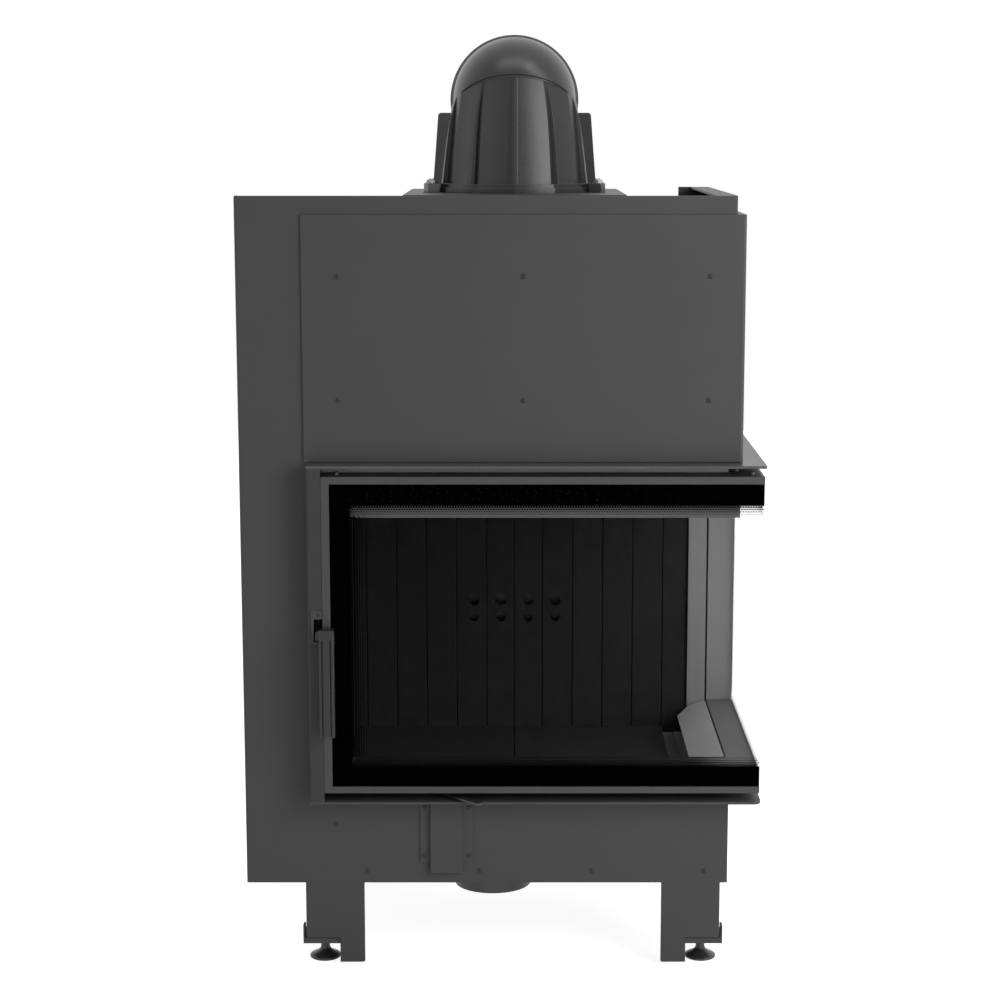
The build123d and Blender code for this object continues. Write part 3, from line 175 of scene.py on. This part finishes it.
# Heat-resistant paint on plate and tube, pale and dry: its pale tone is partly the paint and partly painted
# light from the glazed side on the frames behind the glass
pale_paint_and_light = finish("pale paint and painted light on steel plate", "acacac", 0.42, grit_mm=1.0, lift_mm=0.03)
# The same paint and painted light, a little greyer, on the door's frame
frame_paint_and_light = finish("pale paint and painted light on steel tube", "868686", 0.42, grit_mm=1.0, lift_mm=0.03)
# The side sill is the palest of the plates: pale paint and painted light, for the light it catches through
# the glass
sill_paint_and_light = finish("pale paint and painted light on steel sill", "c8c8c8", 0.38, grit_mm=1.0, lift_mm=0.03)
# Near-black finish, as dark as the hearth: painted shade on the front sill, the inner jamb and the door's
# left stile, and the seam cord's own dark
near_black_shade = finish(
    "near-black steel with painted shade", "1c1c1c", 0.8, grit_mm=1.4, lift_mm=0.05, edge_highlight=0.1, **{"Specular IOR Level": 0.15}
)
# Steel dulled by heat
dull_steel = finish("heat-dulled steel", "6a6a6a", 0.45, grit_mm=0.8, lift_mm=0.02)
# The same steel on the door's lower rail, darkened with painted shade along the front and at full tone on the
# glazed side
shade_end, unshaded_start = 0.3, 0.345
shaded_rail_steel = finish(
    "heat-dulled steel tube with painted shade", "6a6a6a", 0.6, grit_mm=0.8, lift_mm=0.02, edge_highlight=0.1,
    shade_span=(shade_end, unshaded_start), **{"Specular IOR Level": 0.15},
)
# Sheet in the door's shade: its darker coat is painted shade
shaded_coat = finish(
    "grey powder coat with painted shade", "363636", 0.55, grit_mm=1.1, drift=0.05,
    **{"Specular IOR Level": 0.3},
)
# Shelf coat, a little glossier on the flat
shelf_coat = finish("satin grey powder coat on sheet steel", "444444", 0.36, grit_mm=1.1, drift=0.04)
# Sand-cast iron under satin paint: soft lumps under a gloss that mirrors the studio
iron_look = {"grit_mm": 2.4, "lift_mm": 0.08, "cloud_mm": 70, "edge_mm": 1.5, "Specular IOR Level": 0.38}
cast_iron = finish("satin stove paint on sand-cast iron", "1e1e1e", 0.3, **iron_look)
# The collar's casting: its panels between the ribs are almost flat
bell_low, bell_high = np.array(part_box("flue_bell"))
bell_middle = (bell_low + bell_high) / 2
collar_panels, panel_lean = 12, 1.2
ribbed_iron = finish(
    "satin stove paint on ribbed cast iron", "242424", 0.28,
    facets=(bell_middle[:2], collar_panels, panel_lean), **iron_look,
)
# Pressed vermiculite: dark, dry and grainy, with painted highlights on its arrises
vermiculite = finish(
    "dark pressed vermiculite board", "262626", 0.92, grit_mm=1.9, lift_mm=0.35, cloud_mm=42, drift=0.14,
    edge_highlight=0.4, **{"Specular IOR Level": 0.2},
)
# Blackened steel fittings: dark oxide with a metal's shine
black_oxide = finish(
    "black oxide on turned steel", "484848", 0.34, grit_mm=0.7, lift_mm=0.01, edge_mm=0.4, Metallic=0.6
)
# Button heads: deep black, which rings them against the grey coat, with strong painted highlights on their
# rounded edges
screw_black = finish(
    "black phosphate on steel screws", "141414", 0.4, grit_mm=0.6, lift_mm=0.01, edge_mm=0.3, edge_highlight=1.2
)
# Zinc plate: pale metal, slightly cloudy
zinc_plate = finish(
    "zinc plate on steel", "8c8c8c", 0.36, grit_mm=0.8, lift_mm=0.01, edge_mm=0.4, Metallic=0.9
)
# Injection-moulded nylon: black with a soft gloss
nylon = finish("black moulded nylon", "343434", 0.26, grit_mm=1.4, lift_mm=0.02, edge_mm=0.5)
# Lacquered steel grip: darker and glossier than the casing
grip_lacquer = finish(
    "satin lacquer on a steel grip", "1e1e1e", 0.34, grit_mm=0.9, lift_mm=0.01, edge_mm=0.6,
    **{"Specular IOR Level": 0.4},
)
# Ceramic enamel fired on the glass: black without any shine of its own
enamel = finish(
    "black ceramic enamel on glass", "020202", 0.6, grit_mm=0.5, lift_mm=0.002, drift=0.02, edge_mm=0.1,
    edge_highlight=0.0, **{"Specular IOR Level": 0.0},
)


def glass_ceramic():
    """Clear pane with a breath of haze in its gloss."""
    haze_mm = 330
    material, tree = new_material("clear glass ceramic")
    place = add(tree, "ShaderNodeTexCoord").outputs["Object"]
    haze = add(
        tree, "ShaderNodeTexNoise", {"Vector": place}, {"Scale": per_metre(haze_mm), "Detail": 3.0}
    ).outputs[0]
    gloss = add(tree, "ShaderNodeMapRange", {"Value": haze}, ends(0.3, 0.7, 0.04, 0.08)).outputs[0]
    shader = add(
        tree, "ShaderNodeBsdfPrincipled", {"Roughness": gloss},
        {"Base Color": linear("020202"), "Alpha": 0.06, "Specular IOR Level": 0.05},
    )
    add(tree, "ShaderNodeOutputMaterial", {"Surface": shader.outputs[0]})
    material.surface_render_method = "BLENDED"
    return material


def braided_rope():
    """Black glass-fibre rope: two sets of strands cross at a slant, on the rope's own map in millimetres.

    Each set is the sine of one way plus or minus the other, and the higher of the two shows.
    """
    strand_mm = 3.0
    strand_lift_mm = 0.5
    material, tree = new_material("black braided glass-fibre rope")
    way = add(tree, "ShaderNodeSeparateXYZ", {0: add(tree, "ShaderNodeUVMap").outputs[0]})
    waves = []
    for lean in (1.0, -1.0):
        across = add(
            tree, "ShaderNodeMath", {0: way.outputs["Y"], 2: way.outputs["X"]}, {1: lean},
            operation="MULTIPLY_ADD",
        ).outputs[0]
        turn = add(
            tree, "ShaderNodeMath", {0: across}, {1: 2 * math.pi / strand_mm}, operation="MULTIPLY"
        ).outputs[0]
        waves.append(add(tree, "ShaderNodeMath", {0: turn}, operation="SINE").outputs[0])
    weave = add(tree, "ShaderNodeMath", {0: waves[0], 1: waves[1]}, operation="MAXIMUM").outputs[0]
    # Painted shade and highlight: the tone is darker down between the strands and paler on their crowns
    tone = add(tree, "ShaderNodeMapRange", {"Value": weave}, ends(-1.0, 1.0, 0.4, 1.2)).outputs[0]
    shade = add(
        tree, "ShaderNodeVectorMath", {"Scale": tone}, {0: linear("262626")[:3]}, operation="SCALE"
    ).outputs[0]
    bump = add(
        tree, "ShaderNodeBump", {"Height": weave}, {"Strength": 0.8, "Distance": strand_lift_mm * MM}
    ).outputs[0]
    shader = add(
        tree, "ShaderNodeBsdfPrincipled", {"Base Color": shade, "Normal": bump},
        {"Roughness": 0.9, "Specular IOR Level": 0.15},
    )
    add(tree, "ShaderNodeOutputMaterial", {"Surface": shader.outputs[0]})
    return material


# The finish of each material slot, and the nodes that differ from their slot's
finishes = {
    "casing_steel": powder_coat, "door_steel": frame_paint_and_light, "firebox_steel": pale_paint_and_light,
    "cast_iron_flue": cast_iron, "lining": vermiculite, "ceramic_glass": glass_ceramic(),
    "hardware": black_oxide, "handle_steel": grip_lacquer, "gasket_rope": vermiculite, "foot_plastic": nylon,
}
slot_of = {s["node"]: s["material_slot"] for s in frame["record"]["subparts"]}
own_finish = {
    "top_shelf": shelf_coat, "left_jamb": shaded_coat, "keeper_plate": powder_coat, "air_box": powder_coat,
    "air_spigot": black_oxide, "air_lever": black_oxide, "air_wash_strip": dull_steel,
    "door_top_rail": shaded_coat, "door_bottom_rail": shaded_rail_steel, "door_left_stile": near_black_shade,
    "glazing_bars": bar_paint, "inner_jamb": near_black_shade, "front_sill": near_black_shade, "side_sill": sill_paint_and_light,
    "firebox_side_wall": bar_paint, "firebox_rear_wall": bar_paint, "smoke_hood": bar_paint,
    "baffle": vermiculite, "flue_plate": powder_coat, "flue_clamps": cast_iron, "flue_bell": ribbed_iron,
}
for name, node in nodes.items():
    node.data.materials.clear()
    node.data.materials.append(own_finish.get(name, finishes[slot_of[name]]))


# Mesh pieces
def mesh_piece(name, points, faces, material, body, slot, smooth=False, map_mm=None):
    """A mesh that rides on a body, from an array of points and a list of arrays of faces.

    Each array of faces holds those with the same number of corners. The map is given for each point.
    """
    data = bpy.data.meshes.new(name)
    data.from_pydata(points.tolist(), [], [face for group in faces for face in group.tolist()])
    data.update()
    if smooth:
        data.shade_smooth()
    if map_mm is not None:
        corners = np.empty(len(data.loops), dtype=np.int32)
        data.loops.foreach_get("vertex_index", corners)
        data.uv_layers.new(name="map").data.foreach_set("uv", map_mm[corners].ravel())
    data.materials.append(material)
    piece = bpy.data.objects.new(name, data)
    bpy.context.scene.collection.objects.link(piece)
    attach(piece, body)
    return piece


def node_points(name):
    """A node's vertices as rows of X, Y and Z."""
    vertices = nodes[name].data.vertices
    points = np.empty(3 * len(vertices), dtype=np.float32)
    vertices.foreach_get("co", points)
    return points.reshape(-1, 3).astype(float)


def lone_solids(name, reach):
    """The low and the high corners of a node's separate solids, each within a reach of its first point."""
    points = node_points(name)
    boxes = []
    while len(points):
        near = np.linalg.norm(points - points[0], axis=1) < reach
        boxes.append((points[near].min(0), points[near].max(0)))
        points = points[~near]
    return np.array(boxes).transpose(1, 0, 2)


def grid_faces(rows, columns, closed=False):
    """Quads on a grid whose columns close on themselves, and whose rows do too where it is closed.

    Each joins a point with the next in its row and with the two beside them in the row after it.
    """
    i, j = np.meshgrid(np.arange(rows if closed else rows - 1), np.arange(columns), indexing="ij")
    here, next_row = i * columns, (i + 1) % rows * columns
    after = (j + 1) % columns
    return np.stack([here + j, here + after, next_row + after, next_row + j], -1).reshape(-1, 4)


def hexagon(angle):
    """A hexagon's radius over its inner radius: one over the cosine of the angle from a side's middle."""
    return 1 / np.cos((angle + math.pi / 6) % (math.pi / 3) - math.pi / 6)


def turned(profile, sides=24):
    """Turned solid: each ring of points has a radius and a height, and follows a hexagon where it says so.

    Rows are radius, height and 1 for a hexagon. The first and last rows have no radius and are the poles.
    """
    radius, height, six = (np.array(column)[:, None] for column in zip(*profile[1:-1]))
    angle = np.arange(sides) * 2 * math.pi / sides
    wide = radius * np.where(six > 0, hexagon(angle), 1.0)
    rings = np.stack([wide * np.cos(angle), wide * np.sin(angle), np.broadcast_to(height, wide.shape)], -1)
    poles = [(0, 0, profile[0][1]), (0, 0, profile[-1][1])]
    points = np.concatenate([rings.reshape(-1, 3), poles])
    low_pole, high_pole = len(points) - 2, len(points) - 1
    here = np.arange(sides)
    after = (here + 1) % sides
    last_ring = low_pole - sides
    foot = np.stack([np.full(sides, low_pole), after, here], -1)
    head = np.stack([np.full(sides, high_pole), last_ring + here, last_ring + after], -1)
    return points, [grid_faces(len(rings), sides), np.concatenate([foot, head])]


def copies(shape, places):
    """The shape's points and faces once at each place."""
    points, faces = shape
    shift = np.arange(len(places))[:, None, None] * len(points)
    all_points = (points + places[:, None]).reshape(-1, 3)
    return all_points, [(group + shift).reshape(-1, group.shape[1]) for group in faces]


def facing_front(shape):
    """The shape tipped over so that its height points to the front: X, Y, Z become X, -Z, Y."""
    points, faces = shape
    return points[:, [0, 2, 1]] * (1, -1, 1), faces


def screw_shape(radius, height, key, depth, shank, length):
    """Button or cap screw in millimetres: shank, rounded head and a hexagon socket sunk in it."""
    rows = [
        (0, -length, 0), (shank, -length, 0), (shank, 0, 0), (radius, 0, 0), (radius, 0.35 * height, 0),
        (0.93 * radius, 0.7 * height, 0), (0.76 * radius, 0.95 * height, 0), (0.64 * radius, height, 0),
        (key + 0.1, height, 1), (key, height - 0.15, 1), (key, height - depth, 1), (0, height - depth, 0),
    ]
    return turned([(r * MM, h * MM, six) for r, h, six in rows])


# Screws of the casing's covers, their sockets towards the front
screw_head = 2.0
screw_reach, bolt_reach = 20 * MM, 30 * MM
low, high = lone_solids("casing_screws", screw_reach)
seats = (low + high) / 2
seats[:, 1] = low[:, 1] + screw_head * MM
button = screw_shape(radius=3.5, height=screw_head, key=1.25, depth=1.3, shank=2.0, length=7.0)
cover_screws = mesh_piece(
    "cover_screws", *copies(facing_front(button), seats), screw_black, "root", "hardware"
)
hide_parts("casing_screws")

# Cap screws in the door's top edge, seated where the solid's lower heads are
low, high = lone_solids("door_screws", screw_reach)
seats = (low + high) / 2
seats[:, 2] = high[:, 2] - screw_head * MM
cap = screw_shape(radius=4.2, height=5.2, key=2.0, depth=2.5, shank=2.0, length=7.0)
cap_screws = mesh_piece("cap_screws", *copies(cap, seats), black_oxide, "door", "hardware")
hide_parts("door_screws")

# Hexagon bolts of the flue clamps, on washers
bolt_head = 5.5
bolt_rows = [
    (0, -14, 0), (3.6, -14, 0), (4, -13, 0), (4, 0, 0), (7.8, 0, 0), (7.8, 1.1, 0), (6.4, 1.1, 1),
    (6.4, 4.7, 1), (6.3, 5.1, 0), (5.9, bolt_head, 0), (0, bolt_head, 0),
]
low, high = lone_solids("clamp_bolts", bolt_reach)
seats = (low + high) / 2
seats[:, 2] = high[:, 2] - bolt_head * MM
bolt = turned([(r * MM, h * MM, six) for r, h, six in bolt_rows])
clamp_bolts = mesh_piece("hexagon_bolts", *copies(bolt, seats), zinc_plate, "root", "hardware")
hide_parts("clamp_bolts")


# Levelling feet
def foot_shape(stop, stem_top):
    """Levelling foot in millimetres: a dished cone, a neck with a collar and a threaded stem.

    The cone's radius falls as the square of what is left of its height, and the thread's radius is a
    triangle wave of the height over the pitch less the turn.
    """
    sides, pitch, groove = 32, 1.75, 0.16
    lift = np.linspace(0, 1, 8)
    body = [(22.8, 0), (24.2, 0.8), (24.5, 2.2), (24.0, 3.8), (22.6, 4.8)]
    body += [(7.4 + 14.4 * (1 - t) ** 2, 5.4 + 11.6 * t) for t in lift]
    body += [(6.9, 19), (6.9, stop - 4.2), (7.8, stop - 3.6), (7.8, stop - 0.4), (7.4, stop), (5.0, stop)]
    stem = [(5.0, z) for z in np.arange(stop + 0.3, stem_top - 1.0, pitch / 4)]
    rows = [(0, 0, 0), *[(r, h, 0) for r, h in body + stem], (4.0, stem_top, 0), (0, stem_top, 0)]
    points, faces = turned([(r * MM, h * MM, six) for r, h, six in rows], sides)
    first, last = len(body) * sides, (len(body) + len(stem)) * sides
    thread = points[first:last]
    turn = np.arctan2(thread[:, 1], thread[:, 0]) / (2 * math.pi)
    wave = np.abs(((thread[:, 2] / MM / pitch - turn) % 1) * 2 - 1)
    thread[:, :2] *= (1 - groove * wave)[:, None]
    return points, faces


for foot in ("foot_front_left", "foot_front_right", "foot_rear_left", "foot_rear_right"):
    low, high = np.array(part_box(foot))
    points, faces = foot_shape(stop=40.0, stem_top=high[2] / MM)
    points[:, :2] += ((low + high) / 2)[:2]
    piece = mesh_piece(foot.replace("foot", "levelling_foot"), points, faces, nylon, foot, "foot_plastic")
    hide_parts(foot)


# Rope round the door's opening
def rope_loop(low, high, width, thick, corner, step):
    """Flattened rope in a loop on the door frame's inner faces.

    The loop is a rounded rectangle in a flat sheet whose first part is the front's width and whose rest is
    the side's, and the sheet is folded up along the door's corner. Across the loop the rope is an ellipse.
    """
    bend_steps, ring = 6, 12
    run = high[0] - low[0]
    across = run + high[1] - low[1] - width
    up = high[2] - low[2] - width
    starts = np.array([(corner, 0), (across, corner), (across - corner, up), (0, up - corner)])
    quarter_turn = np.array([[0, -1], [1, 0]])
    bend = np.linspace(0, math.pi / 2, bend_steps, endpoint=False)[:, None]
    centre, away = [], []
    for side, start in enumerate(starts):
        ahead, inward = np.linalg.matrix_power(quarter_turn, side).T
        length = (up if side % 2 else across) - 2 * corner
        gone = np.linspace(0, length, int(length / step), endpoint=False)[:, None]
        out = -inward * np.cos(bend) + ahead * np.sin(bend)
        pivot = start + length * ahead + corner * inward
        centre += [start + gone * ahead, pivot + corner * out]
        away += [np.repeat([-inward], len(gone), 0), out]
    centre, away = np.concatenate(centre), np.concatenate(away)
    around = np.arange(ring) * 2 * math.pi / ring
    flat = centre[:, None] + away[:, None] * (width / 2 * np.cos(around))[None, :, None]
    lift = np.broadcast_to(thick / 2 * (1 + np.sin(around)), flat.shape[:2])
    along = flat[..., 0] + width / 2
    x = np.minimum(low[0] + along, high[0] - lift)
    y = np.maximum(low[1] + lift, low[1] + along - run)
    points = np.stack([x, y, low[2] + width / 2 + flat[..., 1]], -1).reshape(-1, 3)
    distance = np.concatenate([[0], np.cumsum(np.linalg.norm(np.diff(centre, axis=0), axis=1))])
    girth = 1.3 * width
    map_mm = np.stack(np.broadcast_arrays(distance[:, None], np.arange(ring) * girth / ring), -1) / MM
    return points, [grid_faces(len(centre), ring, closed=True)], map_mm.reshape(-1, 2)


low, high = np.array(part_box("door_gasket"))
points, faces, map_mm = rope_loop(low, high, width=10 * MM, thick=2.7 * MM, corner=12 * MM, step=4 * MM)
rope = mesh_piece(
    "door_rope", points, faces, braided_rope(), "door", "gasket_rope", smooth=True, map_mm=map_mm
)
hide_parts("door_gasket")


# Cord in the seam under the elbow
def cord_ring(centre, axis, wide, deep, thick, sides=96, ring=8):
    """Ring of cord: an ellipse round the axis, wide along X, with a small circle across it at each point."""
    across = np.array((1.0, 0.0, 0.0))
    other = np.cross(axis, across)
    u = (np.arange(sides) * 2 * math.pi / sides)[:, None, None]
    v = (np.arange(ring) * 2 * math.pi / ring)[None, :, None]
    out = np.cos(u) * across + np.sin(u) * other
    path = centre + np.cos(u) * across * wide + np.sin(u) * other * deep
    points = path + out * (thick / 2 * np.cos(v)) + axis * (thick / 2 * np.sin(v))
    return points.reshape(-1, 3), [grid_faces(sides, ring, closed=True)[:, ::-1]]


seam_thick = 1.6 * MM
seam_sink = 0.3 * seam_thick
rim_height = 0.3 * MM
elbow_turn = next(j for j in frame["record"]["behaviour"]["joints"] if j["name"] == "flue_elbow_turn")
seam_middle, seam_axis = np.array(elbow_turn["pos_m"]), np.array(elbow_turn["axis"], dtype=float)
seam_axis = seam_axis / np.linalg.norm(seam_axis)
away = node_points("flue_elbow") - seam_middle
lift = away @ seam_axis
rim = away[np.abs(lift - lift.min()) < rim_height]
seam_wide = np.abs(rim[:, 0]).max() - seam_sink
seam_deep = np.abs(rim @ np.cross(seam_axis, (1.0, 0.0, 0.0))).max() - seam_sink
points, faces = cord_ring(seam_middle, seam_axis, seam_wide, seam_deep, seam_thick)
# The cord takes the near-black finish; on the cord the dark is its own colour
mesh_piece("seam_cord", points, faces, near_black_shade, "flue_base", "gasket_rope", smooth=True)


# Black enamel on the panes: solid bands that end in rows of shrinking dots, drawn a little
# coarser than the real ones so that they show
dot_pitch = 3.9


def dot_rows(start, end, first, last, rows):
    """Centres and radii of dots in rows: every second row is half a pitch along, and each has smaller dots.

    A dot's radius is a share of the rows' distance, which falls evenly from the first row to the last.
    """
    widest_share, lost_share = 0.56, 0.36
    step = (last - first) / rows
    pitch = dot_pitch * MM
    row = np.arange(rows)[:, None]
    column = np.arange(int((end - start) / pitch))[None, :]
    along = start + (column + 0.5 + 0.5 * (row % 2)) * pitch
    across = np.broadcast_to(first + (row + 0.5) * step, along.shape)
    share = widest_share - lost_share * (row + 0.5) / rows
    radius = np.broadcast_to(abs(step) * share, along.shape)
    keep = along < end - pitch / 2
    return np.stack([along[keep], across[keep], radius[keep]], -1)


def enamel_sheet(name, bands, dots, to_pane):
    """Flat print on a pane: rectangles, given by their low and high corners, and eight-sided dots."""
    low, high = np.array(bands)[:, :2], np.array(bands)[:, 2:]
    corners = np.array([(0, 0), (1, 0), (1, 1), (0, 1)])
    squares = (low[:, None] + corners[None] * (high - low)[:, None]).reshape(-1, 2)
    angle = np.arange(8) * math.pi / 4
    rim = np.stack([np.cos(angle), np.sin(angle)], -1)
    discs = (dots[:, None, :2] + dots[:, None, 2:] * rim[None]).reshape(-1, 2)
    square_faces = np.arange(len(squares)).reshape(-1, 4)
    disc_faces = len(squares) + np.arange(len(discs)).reshape(-1, 8)
    points = to_pane(np.concatenate([squares, discs]))
    mesh_piece(name, points, [square_faces, disc_faces], enamel, "door", "ceramic_glass")


# Where the solid enamel and its dots end, in metres, and how far the print lies inside the pane
inside = 0.08 * MM
level_rows, upright_rows = 4, 6
top_band, top_fade = 0.7308, 0.7168
low_band, low_fade = 0.3295, 0.3440
left_band, left_fade = -0.2265, -0.2035
front_low, front_high = np.array(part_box("front_glass"))
x0, x1, z0, z1 = front_low[0], front_high[0], front_low[2], front_high[2]
dots = np.concatenate([
    dot_rows(left_band, x1, top_band, top_fade, level_rows),
    dot_rows(left_band, x1, low_band, low_fade, level_rows),
    dot_rows(low_fade, top_fade, left_band, left_fade, upright_rows)[:, [1, 0, 2]],
])
enamel_sheet(
    "front_print",
    [(x0, top_band, x1, z1), (x0, z0, x1, low_band), (x0, low_band, left_band, top_band)],
    dots,
    lambda flat: np.insert(flat, 1, front_high[1] - inside, axis=1),
)
side_low, side_high = np.array(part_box("side_glass"))
y0, y1 = side_low[1], side_high[1]
rear_band, rear_fade = y1 - 26 * MM, y1 - 44 * MM
dots = np.concatenate([
    dot_rows(y0, rear_band, top_band, top_fade, level_rows),
    dot_rows(y0, rear_band, low_band, low_fade, level_rows),
    dot_rows(low_fade, top_fade, rear_band, rear_fade, upright_rows)[:, [1, 0, 2]],
])
enamel_sheet(
    "side_print",
    [(y0, top_band, y1, z1), (y0, z0, y1, low_band), (rear_band, low_band, y1, top_band)],
    dots,
    lambda flat: np.insert(flat, 0, side_low[0] + inside, axis=1),
)


# Stage: a pale floor and a white surround, and softer light from the front than from behind
def sight(tree):
    """One for rays that look at the background straight, in a mirror or through glass."""
    path = add(tree, "ShaderNodeLightPath").outputs
    seen = path["Is Camera Ray"]
    for other in ("Is Glossy Ray", "Is Transmission Ray"):
        seen = add(tree, "ShaderNodeMath", {0: seen, 1: path[other]}, operation="MAXIMUM").outputs[0]
    return seen


def pale_floor():
    """Pale matt floor that glows to white where it is seen and keeps a soft shadow."""
    material, tree = new_material("pale matt floor")
    glow = add(tree, "ShaderNodeEmission", {"Strength": sight(tree)}, {"Color": linear("eeeeee")})
    matt = add(tree, "ShaderNodeBsdfDiffuse", values={"Color": linear("bcbcbc")})
    both = add(tree, "ShaderNodeAddShader", {0: glow.outputs[0], 1: matt.outputs[0]})
    add(tree, "ShaderNodeOutputMaterial", {"Surface": both.outputs[0]})
    return material


floor_reach = 6.0
floor_corners = [(x * floor_reach, y * floor_reach, 0) for x, y in ((-1, -1), (1, -1), (1, 1), (-1, 1))]
floor_mesh = bpy.data.meshes.new("floor")
floor_mesh.from_pydata(floor_corners, [], [(0, 1, 2, 3)])
floor_mesh.materials.append(pale_floor())
floor = bpy.data.objects.new("floor", floor_mesh)
bpy.context.scene.collection.objects.link(floor)

# Surround: light from behind and from the right on the matt surfaces, plain white where it is seen
world = bpy.data.worlds.new("studio")
bpy.context.scene.world = world
world.use_nodes = True
tree = world.node_tree
tree.nodes.clear()
way = add(tree, "ShaderNodeSeparateXYZ", {0: add(tree, "ShaderNodeTexCoord").outputs["Generated"]}).outputs
behind = add(tree, "ShaderNodeMapRange", {"Value": way["Y"]}, ends(-0.05, 0.75, 0.14, 2.1)).outputs[0]
right = add(tree, "ShaderNodeMapRange", {"Value": way["X"]}, ends(0.35, 1.0, 0.0, 0.9)).outputs[0]
level = add(tree, "ShaderNodeMath", {0: behind, 1: right}, operation="ADD").outputs[0]
ambient = add(tree, "ShaderNodeBackground", {"Strength": level}, {"Color": (1, 1, 1, 1)})
white = add(tree, "ShaderNodeBackground", values={"Color": (1, 1, 1, 1), "Strength": 1.0})
mix = add(tree, "ShaderNodeMixShader", {0: sight(tree), 1: ambient.outputs[0], 2: white.outputs[0]})
add(tree, "ShaderNodeOutputWorld", {"Surface": mix.outputs[0]})


def softbox(name, place, target, size, power):
    """A rectangular lamp at a place, turned to face the target."""
    lamp = bpy.data.lights.new(name, "AREA")
    lamp.shape = "RECTANGLE"
    lamp.size, lamp.size_y = size
    lamp.energy = power
    holder = bpy.data.objects.new(name, lamp)
    bpy.context.scene.collection.objects.link(holder)
    holder.location = place
    away = np.array(target) - np.array(place)
    yaw = math.atan2(-away[0], away[1])
    pitch = math.atan2(away[2], math.hypot(away[0], away[1]))
    holder.rotation_euler = (math.pi / 2 + pitch, 0, yaw)


# Each lamp's name, place, target, size and watts
softbox("front right softbox", (1.7, -1.7, 1.4), (0.3, -0.2, 0.7), (1.2, 1.8), 40)
softbox("front left softbox", (-2.6, -2.8, 1.8), (0.2, -0.1, 0.7), (1.4, 2.2), 7)
softbox("top softbox", (0.05, -0.1, 3.2), (0, -0.1, 1.2), (0.5, 1.6), 6)
softbox("top right softbox", (1.35, -0.3, 3.0), (0, -0.1, 1.2), (0.5, 1.6), 9)
softbox("left softbox", (-2.6, -0.2, 1.5), (0, 0, 1.1), (0.6, 1.6), 3)

# Camera: a long lens, tipped down on the object's middle
tip_down = math.radians(9.5)
lens = bpy.data.cameras.new("camera")
lens.sensor_width = 36.0
lens.lens = 80.06
lens.shift_x = -0.011
lens.clip_end = 60
camera = bpy.data.objects.new("camera", lens)
bpy.context.scene.collection.objects.link(camera)
camera.location = (0.014, -3.5225, 1.287)
camera.rotation_euler = (math.pi / 2 - tip_down, 0, 0)
bpy.context.scene.camera = camera
bpy.context.scene.view_settings.view_transform = "Standard"
